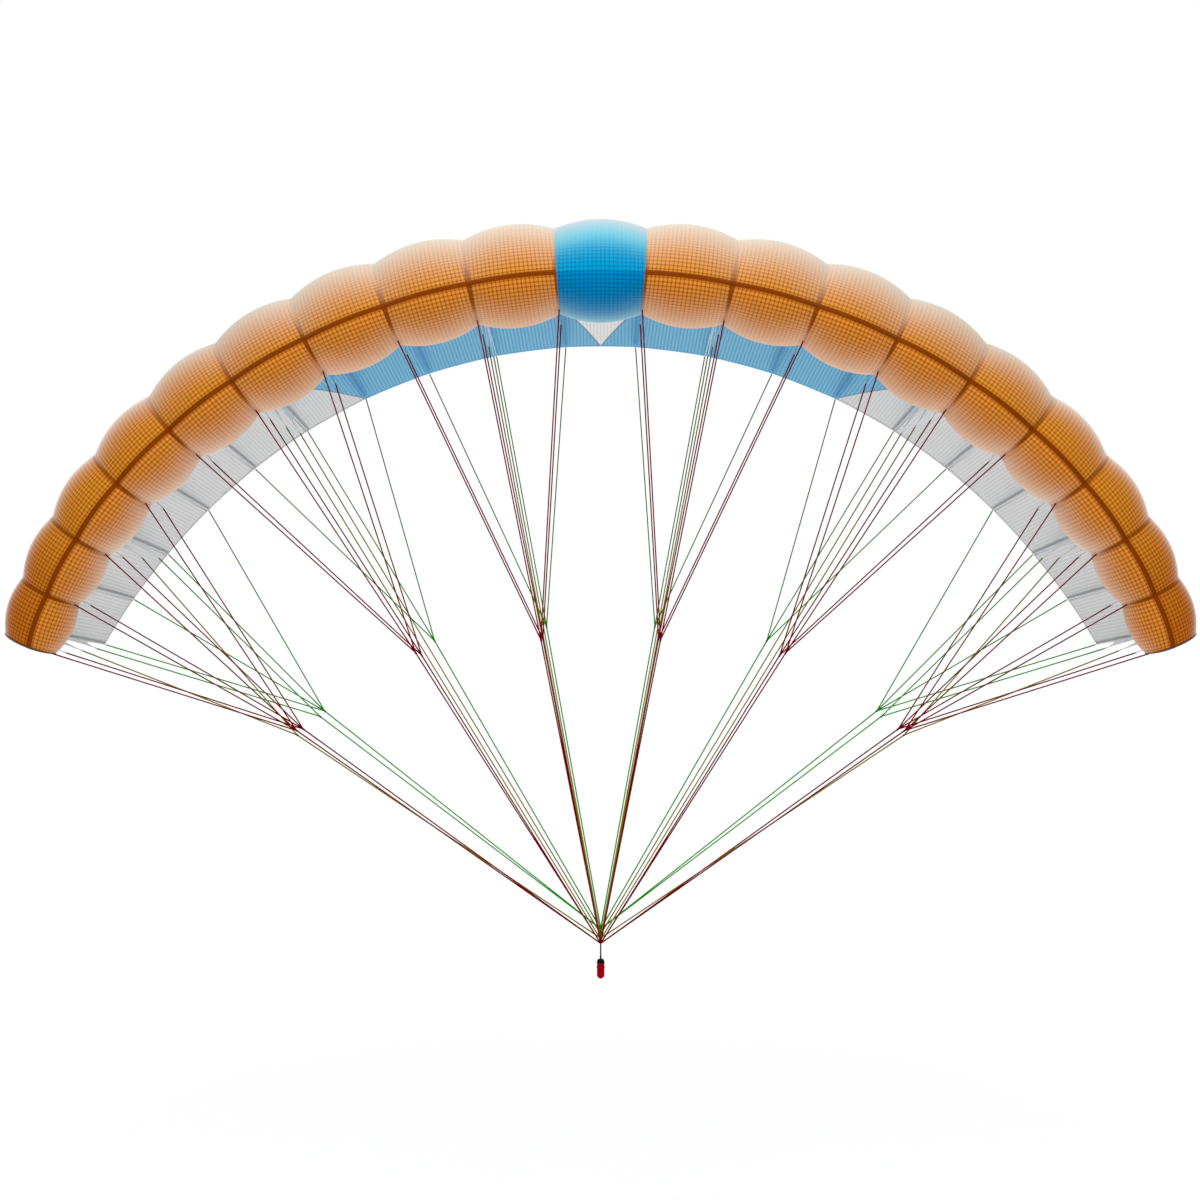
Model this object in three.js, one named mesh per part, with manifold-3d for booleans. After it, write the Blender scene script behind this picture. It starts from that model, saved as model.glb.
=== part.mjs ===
// A single-skin parawing as it flies: a canopy of nineteen billowed cells sewn to toothed ribs,
// its flying lines, and the short bar that one hand holds. Millimetres, +Z up. +X runs along the
// span and +Y along the chord to the trailing edge, so the nose looks along -Y. The origin is the
// middle of the bar. Left and right are as seen from in front of the nose.

import * as THREE from 'three';
import { mergeVertices } from 'three/addons/utils/BufferGeometryUtils.js';
import Module from 'manifold-3d';

const wasm = await Module();
wasm.setup();

// Plan of the canopy. The ribs of one side are counted from 1 beside the centre cell to 10 at the tip.
const RIBS_PER_SIDE = 10;
const CELL_WIDTH = 266;
const TIP_CELL_NARROWING = 0.34;
const CELL_TURN_DEG = 7.2;
const CELL_TURN_GROWTH_DEG = 0.035;
const TIP_CANT_DEG = 68;
const ROOT_CHORD = 1250;
const CHORD_TAPER = 0.41;
const CHORD_TAPER_POWER = 4;
const TIP_SWEEP = 156;
const SWEEP_POWER = 2.5;
const NOSE_AHEAD_OF_BAR = 420;
const NOSE_ABOVE_BAR = 2182;

// Rib profile, as shares of the chord, measured from the leading edge.
const CREST_BACK = 0.28;
const CREST_UP = 0.155;
const TIP_CREST_GROWTH = 0.15;
const CREST_GROWTH_POWER = 8;
const TAIL_DROP = 0.028;
const TAIL_FALL_POWER = 1.7;
const UNDER_NOSE_BACK = 0.148;
const UNDER_NOSE_DROP = 0.0763;

// Billow of a cell between its ribs, as a share of the cell's width.
const BILLOW_NOSE = 0.11;
const BILLOW_UNDER_NOSE = 0.098;
const BILLOW_TAIL = 0.012;

// Cloth and seams.
const SKIN_SHEET = 1.2;
const RIB_SHEET = 1.2;
const SEAM_GAP = 0.3;
const RIB_BELOW_SKIN = 1.8;
const CELLS_PER_NOSE_RUN = 3;
const BLUE_CELLS_PER_SIDE = 3;
const CELL_STEPS = 4;
const NOSE_STEPS = 6;
const REAR_STEPS = 5;

// Where the lines are sewn on, as shares of the chord. Row A hangs from the seam of the under nose, and
// the rows behind it from teeth of the rib.
const ROW_A_BACK = 0.096;
const TEETH = {
  B: { back: 0.265, drop: 0.081 },
  C: { back: 0.51, drop: 0.075 },
  D: { back: 0.745, drop: 0.068 },
};
const TAIL_TAB_BACK = 0.985;
const TAIL_TAB_DEPTH = 14;
const TOOTH_TIP_HALF = 2.5;
const ARCH_RISE = 0.62;
const ARCH_POWER = 0.7;
const ARCH_STEPS = 7;
const FIVE_LINE_RIBS = [2, 5, 8, 10];

// Bar and leaders. The bar lies along the chord, its front end a little raised.
const BAR_LENGTH = 320;
const BAR_TILT_DEG = 5;
const GRIP_LENGTH = 190;
const GRIP_RADIUS = 12;
const GRIP_NOSE_LENGTH = 11;
const ROD_RADIUS = 11.2;
const ROD_CHAMFER = 1.5;
const ROD_CAP_HALF = 10.7;
const ROD_CAP_CORNER = 3.5;
const ROD_CAP_LENGTH = 7;
const BAR_SIDES = 20;
const LEADER_RADIUS = 2.3;
const LEADER_SIDES = 8;
const LOOP_CORD_RADIUS = 0.9;
const LOOP_CORD_SIDES = 6;
const FRONT_LOOP_FROM_GRIP = 4;
const REAR_LOOP_FROM_END = 10;

// Points where the lines of each family come together, in the plane of symmetry. The middle family
// is tied to the rear leader, each of its rows at a share of the way up.
const FRONT_GATHER = new THREE.Vector3(0, 22, 77);
const REAR_GATHER = new THREE.Vector3(0, 185, 92);
const MID_TIE_SHARES = { C: 0.715, D: 0.9 };
const GATHER_KNOT_RADIUS = 4;
const GATHER_KNOT_SIDES = 12;
const MID_SLEEVE_END = 3;
const MID_SLEEVE_OUTER = 6;

// Flying lines. A cascade gathers the same tooth of several ribs on one knot, which lies a share of
// the way from the family's gather to the middle of its teeth. A lean draws it towards the tail tabs,
// and an inward pull above 0 says that the inner ribs of the row pull harder than the outer ones.
const UPPER_LINE_RADIUS = 2.1;
const LOWER_LINE_RADIUS = 2.2;
const LINE_SIDES = 5;
const LINE_GAP = 1.15;
const ROW_A_GAP = 3;
const KNOT_RADIUS = 3.4;
const KNOT_LENGTH = 14;
const INNER_RIBS = [1, 2, 3];
const MIDDLE_RIBS = [4, 5, 6];
const OUTER_RIBS = [7, 8, 9, 10];
const OUTER_FIVE_LINE_RIBS = [8, 10];
const CASCADES = [
  { family: 'front', tooth: 'A', ribs: INNER_RIBS, reach: 0.504, lean: 0, inward: 0.01 },
  { family: 'front', tooth: 'B', ribs: INNER_RIBS, reach: 0.507, lean: 0, inward: 0.04 },
  { family: 'front', tooth: 'A', ribs: MIDDLE_RIBS, reach: 0.558, lean: 0, inward: 0.07 },
  { family: 'front', tooth: 'B', ribs: MIDDLE_RIBS, reach: 0.554, lean: 0, inward: 0.065 },
  { family: 'front', tooth: 'A', ribs: OUTER_RIBS, reach: 0.605, lean: 0, inward: -0.16 },
  { family: 'front', tooth: 'B', ribs: OUTER_RIBS, reach: 0.605, lean: 0, inward: -0.16 },
  { family: 'mid', tooth: 'C', ribs: OUTER_FIVE_LINE_RIBS, reach: 0.618, lean: 0, inward: -0.12 },
  { family: 'rear', tooth: 'D', ribs: OUTER_FIVE_LINE_RIBS, reach: 0.603, lean: 0.68, inward: 0.35 },
  { family: 'rear', tooth: 'tail', ribs: INNER_RIBS, reach: 0.504, lean: 0, inward: 0.03 },
  { family: 'rear', tooth: 'tail', ribs: MIDDLE_RIBS, reach: 0.553, lean: 0, inward: 0.1 },
  { family: 'rear', tooth: 'tail', ribs: OUTER_RIBS, reach: 0.602, lean: 0, inward: -0.01 },
];
const SINGLE_LINES = [
  { family: 'mid', tooth: 'C', rib: 2 },
  { family: 'mid', tooth: 'D', rib: 2 },
  { family: 'mid', tooth: 'C', rib: 5 },
  { family: 'mid', tooth: 'D', rib: 5 },
];

const { degToRad, lerp } = THREE.MathUtils;
const UP = new THREE.Vector3(0, 1, 0);
const SMALL_SHARE = 1e-3;
const MERGE_DISTANCE = 1e-4;

// Evenly spaced values from one end to the other, both included.
function steps(count, from, to) {
  return Array.from({ length: count + 1 }, (_, index) => lerp(from, to, index / count));
}

function finish(color, roughness, metalness = 0) {
  return new THREE.MeshStandardMaterial({ color, roughness, metalness });
}

const ORANGE_CLOTH = finish(0xd0802f, 0.7);
const BLUE_CLOTH = finish(0x0a8cc8, 0.7);
const GREY_CLOTH = finish(0xcfd0d2, 0.75);
const RIB_CLOTH = finish(0xa9a9ad, 0.75);
const RED_LINE = finish(0x6e1f26, 0.8);
const OLIVE_LINE = finish(0x6d6a1e, 0.8);
const GREEN_LINE = finish(0x3f8f3a, 0.8);
const LEADER_CORD = finish(0x5a5a5e, 0.8);
const RED_FOAM = finish(0x99141f, 0.6);
const BLACK_ROD = finish(0x141416, 0.35);

const wing = new THREE.Group();

function addMesh(name, geometry, material) {
  const mesh = new THREE.Mesh(geometry, material);
  mesh.name = name;
  wing.add(mesh);
  return mesh;
}

// Each cell slopes down more steeply than its inner neighbour. The centre cell is level.
const cellSlope = (cell) => CELL_TURN_DEG * cell + CELL_TURN_GROWTH_DEG * cell * cell;
const cellWidth = (cell) => CELL_WIDTH * (1 - TIP_CELL_NARROWING * ((cell - 1) / (RIBS_PER_SIDE - 2)) ** 2);

// One side's ribs from the centre cell to the tip: the place of each leading edge, the lean of the
// rib's plane, its chord, and its crest as a share of the chord.
function ribStations() {
  const outerCells = Array.from({ length: RIBS_PER_SIDE - 1 }, (_, index) => index + 1);
  const halfArc = outerCells.reduce((sum, cell) => sum + cellWidth(cell), CELL_WIDTH / 2);
  const stations = [];
  let out = CELL_WIDTH / 2;
  let up = NOSE_ABOVE_BAR;
  let arc = CELL_WIDTH / 2;
  for (let rib = 1; rib <= RIBS_PER_SIDE; rib += 1) {
    if (rib > 1) {
      const slope = degToRad(cellSlope(rib - 1));
      out += cellWidth(rib - 1) * Math.cos(slope);
      up -= cellWidth(rib - 1) * Math.sin(slope);
      arc += cellWidth(rib - 1);
    }
    const along = arc / halfArc;
    const middleCant = (cellSlope(rib - 1) + cellSlope(rib)) / 2;
    stations.push({
      rib,
      side: 1,
      out,
      back: TIP_SWEEP * along ** SWEEP_POWER - NOSE_AHEAD_OF_BAR,
      up,
      cant: degToRad(Math.min(middleCant, TIP_CANT_DEG)),
      chord: ROOT_CHORD * (1 - CHORD_TAPER * along ** CHORD_TAPER_POWER),
      crest: CREST_UP * (1 + TIP_CREST_GROWTH * along ** CREST_GROWTH_POWER),
    });
  }
  return stations;
}

const rightRibs = ribStations();
const leftRibs = rightRibs.map((station) => ({ ...station, side: -1 }));
const allRibs = [...leftRibs].reverse().concat(rightRibs);
const sideName = (side) => (side < 0 ? 'left' : 'right');

// A point of a rib's own plane: back along the chord and up from the leading edge, in millimetres.
function ribPoint(station, back, up) {
  const { side, out, cant } = station;
  return new THREE.Vector3(
    side * (out + up * Math.sin(cant)),
    station.back + back,
    station.up + up * Math.cos(cant),
  );
}

// The rib profile by its turn: -1 is the rear edge of the under nose, 0 the leading edge, 1 the crest
// and 2 the tail. Under and over the leading edge it is a quarter ellipse.
function profile({ crest }, turn) {
  const angle = Math.abs(turn) * Math.PI / 2;
  if (turn < 0) {
    return { back: UNDER_NOSE_BACK * (1 - Math.cos(angle)), up: -UNDER_NOSE_DROP * Math.sin(angle) };
  }
  if (turn <= 1) {
    return { back: CREST_BACK * (1 - Math.cos(angle)), up: crest * Math.sin(angle) };
  }
  return {
    back: lerp(CREST_BACK, 1, turn - 1),
    up: crest - (crest + TAIL_DROP) * (turn - 1) ** TAIL_FALL_POWER,
  };
}

// The height of the top skin over the chord, at a share of the chord behind the leading edge.
function topAt({ crest }, back) {
  if (back < CREST_BACK) {
    return crest * Math.sqrt(1 - ((CREST_BACK - back) / CREST_BACK) ** 2);
  }
  const share = (back - CREST_BACK) / (1 - CREST_BACK);
  return crest - (crest + TAIL_DROP) * share ** TAIL_FALL_POWER;
}

function billowShare(turn) {
  if (turn < 0) {
    return lerp(BILLOW_NOSE, BILLOW_UNDER_NOSE, -turn);
  }
  return turn <= 1 ? BILLOW_NOSE : lerp(BILLOW_NOSE, BILLOW_TAIL, turn - 1);
}

function railPoint(station, turn) {
  const { back, up } = profile(station, turn);
  return ribPoint(station, back * station.chord, up * station.chord);
}

// The outward direction of a sheet, given its point for each turn and each share across the cell.
function sheetNormal(pointAt, turn, across) {
  const alongSpan = pointAt(turn, across + SMALL_SHARE).sub(pointAt(turn, across - SMALL_SHARE));
  const alongChord = pointAt(turn + SMALL_SHARE, across).sub(pointAt(turn - SMALL_SHARE, across));
  return alongSpan.cross(alongChord).normalize();
}

// The outer face of one cell: a ruled face between its two ribs, blown out in an even arc.
function cellFace(leftRib, rightRib) {
  const width = railPoint(leftRib, 0).distanceTo(railPoint(rightRib, 0));
  const ruled = (turn, across) => railPoint(leftRib, turn).lerp(railPoint(rightRib, turn), across);
  const face = (turn, across) => {
    const height = width * billowShare(turn) * 4 * across * (1 - across);
    return ruled(turn, across).addScaledVector(sheetNormal(ruled, turn, across), height);
  };
  return { width, face };
}

// A closed sheet over rows of points, with the inner face one thickness inside the outer one.
function sheetGeometry(outerRows, normalRows, thickness) {
  const rows = outerRows.length;
  const columns = outerRows[0].length;
  const positions = [];
  outerRows.forEach((row) => row.forEach((point) => positions.push(...point.toArray())));
  outerRows.forEach((row, r) => row.forEach((point, c) => {
    positions.push(...point.clone().addScaledVector(normalRows[r][c], -thickness).toArray());
  }));
  const outer = (r, c) => r * columns + c;
  const inner = (r, c) => rows * columns + r * columns + c;
  const indices = [];
  const quad = (a, b, c, d) => indices.push(a, b, c, a, c, d);
  for (let r = 0; r < rows - 1; r += 1) {
    for (let c = 0; c < columns - 1; c += 1) {
      quad(outer(r, c), outer(r, c + 1), outer(r + 1, c + 1), outer(r + 1, c));
      quad(inner(r, c), inner(r + 1, c), inner(r + 1, c + 1), inner(r, c + 1));
    }
    quad(outer(r, 0), outer(r + 1, 0), inner(r + 1, 0), inner(r, 0));
    quad(outer(r, columns - 1), inner(r, columns - 1), inner(r + 1, columns - 1), outer(r + 1, columns - 1));
  }
  for (let c = 0; c < columns - 1; c += 1) {
    quad(outer(0, c), inner(0, c), inner(0, c + 1), outer(0, c + 1));
    quad(outer(rows - 1, c), outer(rows - 1, c + 1), inner(rows - 1, c + 1), inner(rows - 1, c));
  }
  const geometry = new THREE.BufferGeometry();
  geometry.setAttribute('position', new THREE.Float32BufferAttribute(positions, 3));
  geometry.setIndex(indices);
  return geometry;
}

// One sheet over a run of neighbouring cells, for the given turns of the profile. Neighbours share
// the column at the rib between them, and the run's ends stop half a seam gap short of theirs.
function cellRunGeometry(ribs, turns) {
  const columns = [];
  for (let cell = 0; cell < ribs.length - 1; cell += 1) {
    const { width, face } = cellFace(ribs[cell], ribs[cell + 1]);
    const trim = SEAM_GAP / 2 / width;
    const isFirst = cell === 0;
    const isLast = cell === ribs.length - 2;
    for (let step = isFirst ? 0 : 1; step <= CELL_STEPS; step += 1) {
      const low = isFirst ? trim : 0;
      const high = isLast ? 1 - trim : 1;
      columns.push({ face, across: THREE.MathUtils.clamp(step / CELL_STEPS, low, high) });
    }
  }
  const outerRows = turns.map((turn) => columns.map(({ face, across }) => face(turn, across)));
  const normalRows = turns.map((turn) => columns.map(({ face, across }, index) => {
    const normal = sheetNormal(face, turn, across);
    const sharedSeam = across === 1 && index < columns.length - 1;
    return sharedSeam ? normal.add(sheetNormal(columns[index + 1].face, turn, 0)).normalize() : normal;
  }));
  return sheetGeometry(outerRows, normalRows, SKIN_SHEET);
}

// The top and the under nose part at the leading edge, where each is turned back by half a seam gap.
const tipChord = rightRibs[RIBS_PER_SIDE - 1].chord;
const topSeamTurn = SEAM_GAP / (CREST_UP * tipChord * Math.PI);
const underSeamTurn = SEAM_GAP / (UNDER_NOSE_DROP * tipChord * Math.PI);
const crestTurns = [...steps(NOSE_STEPS, 0, 1).slice(1), ...steps(REAR_STEPS, 1, 2).slice(1)];
const topTurns = [topSeamTurn, ...crestTurns];
const underTurns = [...steps(NOSE_STEPS, -1, 0).slice(0, -1), -underSeamTurn];

const centreCell = (allRibs.length - 2) / 2;

function cellLabel(cell) {
  const count = cell - centreCell;
  return count === 0 ? 'centre' : `${sideName(count)}_${Math.abs(count)}`;
}

function addTopPanels() {
  for (let cell = 0; cell < allRibs.length - 1; cell += 1) {
    const geometry = cellRunGeometry([allRibs[cell], allRibs[cell + 1]], topTurns);
    const isBlue = Math.abs(cell - centreCell) <= BLUE_CELLS_PER_SIDE;
    addMesh(`top_panel_${cellLabel(cell)}`, geometry, isBlue ? BLUE_CLOTH : GREY_CLOTH);
  }
}

// The under nose is pieced from the centre cell and runs of three cells on each side of it.
function addNosePanels() {
  const centreRun = allRibs.slice(centreCell, centreCell + 2);
  addMesh('nose_panel_centre', cellRunGeometry(centreRun, underTurns), BLUE_CLOTH);
  for (let run = 0; run < centreCell; run += CELLS_PER_NOSE_RUN) {
    for (const first of [run, centreCell + 1 + run]) {
      const last = first + CELLS_PER_NOSE_RUN - 1;
      const name = `nose_panel_${cellLabel(first)}_to_${Math.abs(last - centreCell)}`;
      addMesh(name, cellRunGeometry(allRibs.slice(first, last + 2), underTurns), ORANGE_CLOTH);
    }
  }
}

const ribTeeth = (station) => (FIVE_LINE_RIBS.includes(station.rib) ? ['B', 'C', 'D'] : ['B']);

// Where a line leaves a rib, in the rib's own plane.
function toothTip(station, tooth) {
  const { chord } = station;
  if (tooth === 'A') {
    const ahead = 1 - ROW_A_BACK / UNDER_NOSE_BACK;
    return new THREE.Vector2(ROW_A_BACK * chord, -UNDER_NOSE_DROP * Math.sqrt(1 - ahead ** 2) * chord);
  }
  if (tooth === 'tail') {
    return new THREE.Vector2(TAIL_TAB_BACK * chord, topAt(station, TAIL_TAB_BACK) * chord - TAIL_TAB_DEPTH);
  }
  return new THREE.Vector2(TEETH[tooth].back * chord, -TEETH[tooth].drop * chord);
}

// The arched lower edge between two teeth: the rib's depth below the skin shrinks between them.
function archPoints(station, from, to) {
  const { chord } = station;
  const depthAt = (point) => topAt(station, point.x / chord) * chord - point.y;
  return steps(ARCH_STEPS, 0, 1).slice(1, -1).map((share) => {
    const back = lerp(from.x, to.x, share);
    const hollow = 1 - ARCH_RISE * Math.sin(Math.PI * share) ** ARCH_POWER;
    const depth = lerp(depthAt(from), depthAt(to), share) * hollow;
    return new THREE.Vector2(back, topAt(station, back / chord) * chord - depth);
  });
}

// A rib's outline: forward under the skin from the tail to the nose, round the nose to the rear edge of
// the under nose, then back over the arches between the teeth to the tail.
function ribOutline(station) {
  const { chord } = station;
  const turns = [...steps(NOSE_STEPS, -1, 0), ...crestTurns].reverse();
  const edge = turns.map((turn) => {
    const here = profile(station, turn);
    const ahead = profile(station, Math.min(turn + SMALL_SHARE, 2));
    const behind = profile(station, Math.max(turn - SMALL_SHARE, -1));
    const inward = new THREE.Vector2(ahead.up - behind.up, behind.back - ahead.back).normalize();
    return new THREE.Vector2(here.back * chord, here.up * chord).addScaledVector(inward, RIB_BELOW_SKIN);
  });
  const tailTip = toothTip(station, 'tail');
  edge[0].set(tailTip.x + TOOTH_TIP_HALF, topAt(station, TAIL_TAB_BACK) * chord - 2 * RIB_BELOW_SKIN);
  const outline = [...edge];
  for (const tooth of [...ribTeeth(station), 'tail']) {
    const tip = toothTip(station, tooth);
    const front = new THREE.Vector2(tip.x - TOOTH_TIP_HALF, tip.y);
    const rear = new THREE.Vector2(tip.x + TOOTH_TIP_HALF, tip.y);
    outline.push(...archPoints(station, outline[outline.length - 1], front), front, rear);
  }
  return outline;
}

function addRibs() {
  for (const station of allRibs) {
    const geometry = new THREE.ExtrudeGeometry(new THREE.Shape(ribOutline(station)), {
      depth: RIB_SHEET,
      bevelEnabled: false,
    });
    geometry.translate(0, 0, -RIB_SHEET / 2);
    const back = new THREE.Vector3(0, 1, 0);
    const up = new THREE.Vector3(station.side * Math.sin(station.cant), 0, Math.cos(station.cant));
    const mesh = addMesh(`rib_${sideName(station.side)}_${station.rib}`, geometry, RIB_CLOTH);
    mesh.setRotationFromMatrix(new THREE.Matrix4().makeBasis(back, up, back.clone().cross(up)));
    mesh.position.copy(ribPoint(station, 0, 0));
  }
}

function solidOf(geometry) {
  const bare = geometry.clone();
  bare.deleteAttribute('normal');
  bare.deleteAttribute('uv');
  const merged = mergeVertices(bare, MERGE_DISTANCE);
  return new wasm.Manifold(new wasm.Mesh({
    numProp: 3,
    vertProperties: new Float32Array(merged.attributes.position.array),
    triVerts: new Uint32Array(merged.index.array),
  }));
}

function fusedGeometry(geometries) {
  const fused = geometries.map(solidOf).reduce((whole, piece) => whole.add(piece));
  const mesh = fused.getMesh();
  const geometry = new THREE.BufferGeometry();
  geometry.setAttribute('position', new THREE.Float32BufferAttribute(mesh.vertProperties, mesh.numProp));
  geometry.setIndex(Array.from(mesh.triVerts));
  return geometry;
}

// A straight cord between two points.
function cordGeometry(from, to, radius, sides) {
  const along = to.clone().sub(from);
  const geometry = new THREE.CylinderGeometry(radius, radius, along.length(), sides);
  geometry.applyQuaternion(new THREE.Quaternion().setFromUnitVectors(UP, along.clone().normalize()));
  const middle = from.clone().add(to).multiplyScalar(0.5);
  return geometry.translate(middle.x, middle.y, middle.z);
}

function turnedGeometry(profilePoints, sides, axis, place) {
  const geometry = new THREE.LatheGeometry(profilePoints.map(([r, h]) => new THREE.Vector2(r, h)), sides);
  geometry.applyQuaternion(new THREE.Quaternion().setFromUnitVectors(UP, axis));
  return geometry.translate(place.x, place.y, place.z);
}

// The bar, from its rear end to its raised front end.
const barAxis = new THREE.Vector3(0, -Math.cos(degToRad(BAR_TILT_DEG)), Math.sin(degToRad(BAR_TILT_DEG)));
const barPoint = (fromRear) => barAxis.clone().multiplyScalar(fromRear - BAR_LENGTH / 2);
const rodLength = BAR_LENGTH - GRIP_LENGTH;

// The cap that closes the rod's rear end has flat sides and rounded corners.
function rodCapGeometry() {
  const flat = ROD_CAP_HALF - ROD_CAP_CORNER;
  const quarter = Math.PI / 2;
  const outline = new THREE.Shape();
  outline.absarc(flat, flat, ROD_CAP_CORNER, 0, quarter);
  outline.absarc(-flat, flat, ROD_CAP_CORNER, quarter, 2 * quarter);
  outline.absarc(-flat, -flat, ROD_CAP_CORNER, 2 * quarter, 3 * quarter);
  outline.absarc(flat, -flat, ROD_CAP_CORNER, 3 * quarter, 4 * quarter);
  const options = { depth: ROD_CAP_LENGTH, bevelEnabled: false, curveSegments: 4 };
  const geometry = new THREE.ExtrudeGeometry(outline, options);
  geometry.applyQuaternion(new THREE.Quaternion().setFromUnitVectors(new THREE.Vector3(0, 0, 1), barAxis));
  const place = barPoint(0);
  return geometry.translate(place.x, place.y, place.z);
}

function addBar() {
  const noseSteps = 5;
  const gripStart = rodLength + SEAM_GAP;
  const shoulder = BAR_LENGTH - GRIP_NOSE_LENGTH;
  const gripNose = steps(noseSteps, 0, 1).map((share) => {
    const angle = share * Math.PI / 2;
    return [GRIP_RADIUS * Math.cos(angle), shoulder - gripStart + GRIP_NOSE_LENGTH * Math.sin(angle)];
  });
  gripNose[noseSteps][0] = 0;
  const grip = [[0, 0], [GRIP_RADIUS - ROD_CHAMFER, 0], [GRIP_RADIUS, ROD_CHAMFER], ...gripNose];
  addMesh('bar_grip', turnedGeometry(grip, BAR_SIDES, barAxis, barPoint(gripStart)), RED_FOAM);
  const rodEnd = [[0, 0], [ROD_RADIUS - ROD_CHAMFER, 0], [ROD_RADIUS, ROD_CHAMFER]];
  const rod = [...rodEnd, [ROD_RADIUS, rodLength], [0, rodLength]];
  const turnedRod = turnedGeometry(rod, BAR_SIDES, barAxis, barPoint(0));
  addMesh('bar_rod', fusedGeometry([turnedRod, rodCapGeometry()]), BLACK_ROD);
}

// A leader is tied round the rod by a loop of thin cord and runs up to its family's gather.
function leaderGeometry(loopFromRear, gather) {
  const loopRadius = ROD_RADIUS + SEAM_GAP + LOOP_CORD_RADIUS;
  const loop = new THREE.TorusGeometry(loopRadius, LOOP_CORD_RADIUS, LOOP_CORD_SIDES, BAR_SIDES);
  loop.applyQuaternion(new THREE.Quaternion().setFromUnitVectors(new THREE.Vector3(0, 0, 1), barAxis));
  const centre = barPoint(loopFromRear);
  loop.translate(centre.x, centre.y, centre.z);
  const rise = new THREE.Vector3(0, Math.sin(degToRad(BAR_TILT_DEG)), Math.cos(degToRad(BAR_TILT_DEG)));
  const foot = centre.clone().addScaledVector(rise, loopRadius);
  const pull = gather.clone().sub(foot).normalize();
  const head = gather.clone().addScaledVector(pull, -(GATHER_KNOT_RADIUS + SEAM_GAP));
  const cord = cordGeometry(foot, head, LEADER_RADIUS, LEADER_SIDES);
  return { foot, head, geometry: fusedGeometry([loop, cord]) };
}

const frontLeader = leaderGeometry(rodLength - FRONT_LOOP_FROM_GRIP, FRONT_GATHER);
const rearLeader = leaderGeometry(REAR_LOOP_FROM_END, REAR_GATHER);
const rearLeaderAxis = rearLeader.head.clone().sub(rearLeader.foot).normalize();
const midTies = {
  C: rearLeader.foot.clone().lerp(REAR_GATHER, MID_TIE_SHARES.C),
  D: rearLeader.foot.clone().lerp(REAR_GATHER, MID_TIE_SHARES.D),
};

function addLeaders() {
  addMesh('leader_front', frontLeader.geometry, LEADER_CORD);
  addMesh('leader_rear', rearLeader.geometry, LEADER_CORD);
}

// One winding round the rear leader holds both ties of the middle family, row C below row D.
function midSleeveGeometry() {
  const inner = (LEADER_RADIUS + SEAM_GAP) / Math.cos(Math.PI / GATHER_KNOT_SIDES);
  const half = midTies.C.distanceTo(midTies.D) / 2 + MID_SLEEVE_END;
  const rim = [[MID_SLEEVE_OUTER, -half], [MID_SLEEVE_OUTER, half]];
  const sleeve = [[inner, -half], ...rim, [inner, half], [inner, -half]];
  const middle = midTies.C.clone().lerp(midTies.D, 0.5);
  return turnedGeometry(sleeve, GATHER_KNOT_SIDES, rearLeaderAxis, middle);
}

function gatherKnot(place) {
  const knot = new THREE.SphereGeometry(GATHER_KNOT_RADIUS, GATHER_KNOT_SIDES, LEADER_SIDES);
  return knot.translate(place.x, place.y, place.z);
}

const FAMILIES = {
  front: { gather: FRONT_GATHER, heart: () => gatherKnot(FRONT_GATHER), material: RED_LINE },
  mid: { heart: midSleeveGeometry, material: OLIVE_LINE },
  rear: { gather: REAR_GATHER, heart: () => gatherKnot(REAR_GATHER), material: GREEN_LINE },
};

function gatherOf(family, tooth) {
  return family === 'mid' ? midTies[tooth] : FAMILIES[family].gather;
}

// Lines start in their gather, and those of the middle family at the rim of the winding.
function lineStart(family, tooth, towards) {
  const start = gatherOf(family, tooth).clone();
  if (family === 'mid') {
    const aside = towards.clone().sub(start);
    aside.addScaledVector(rearLeaderAxis, -aside.dot(rearLeaderAxis)).normalize();
    start.addScaledVector(aside, MID_SLEEVE_OUTER - LOWER_LINE_RADIUS / 2);
  }
  return start;
}

function tabPoint(station, tooth) {
  const tip = toothTip(station, tooth);
  return ribPoint(station, tip.x, tip.y);
}

// An upper line ends just short of its tooth, and in row A a little lower, clear of the billow beside it.
function upperLine(station, tooth, from) {
  const tab = tabPoint(station, tooth);
  const pull = from.clone().sub(tab).normalize();
  const gap = tooth === 'A' ? ROW_A_GAP : LINE_GAP;
  return cordGeometry(from, tab.addScaledVector(pull, gap), UPPER_LINE_RADIUS, LINE_SIDES);
}

// The middle of points that run from the inner rib outwards, each weighed by its rib's pull.
function middleOf(points, inward) {
  const pulls = points.map((_, index) => 1 + inward * (1 - 2 * index / (points.length - 1)));
  const sum = new THREE.Vector3();
  points.forEach((point, index) => sum.addScaledVector(point, pulls[index]));
  return sum.divideScalar(points.length);
}

function cascadeGeometries(ribs, { family, tooth, ribs: numbers, reach, lean, inward }) {
  const stations = numbers.map((number) => ribs[number - 1]);
  const aim = middleOf(stations.map((station) => tabPoint(station, tooth)), inward);
  aim.lerp(middleOf(stations.map((station) => tabPoint(station, 'tail')), inward), lean);
  const knot = gatherOf(family, tooth).clone().lerp(aim, reach);
  const start = lineStart(family, tooth, knot);
  const along = knot.clone().sub(start).normalize();
  const barrelEnd = (share) => knot.clone().addScaledVector(along, share * KNOT_LENGTH);
  return [
    cordGeometry(start, knot, LOWER_LINE_RADIUS, LINE_SIDES),
    cordGeometry(barrelEnd(-0.5), barrelEnd(0.5), KNOT_RADIUS, LEADER_SIDES),
    ...stations.map((station) => upperLine(station, tooth, knot)),
  ];
}

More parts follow.
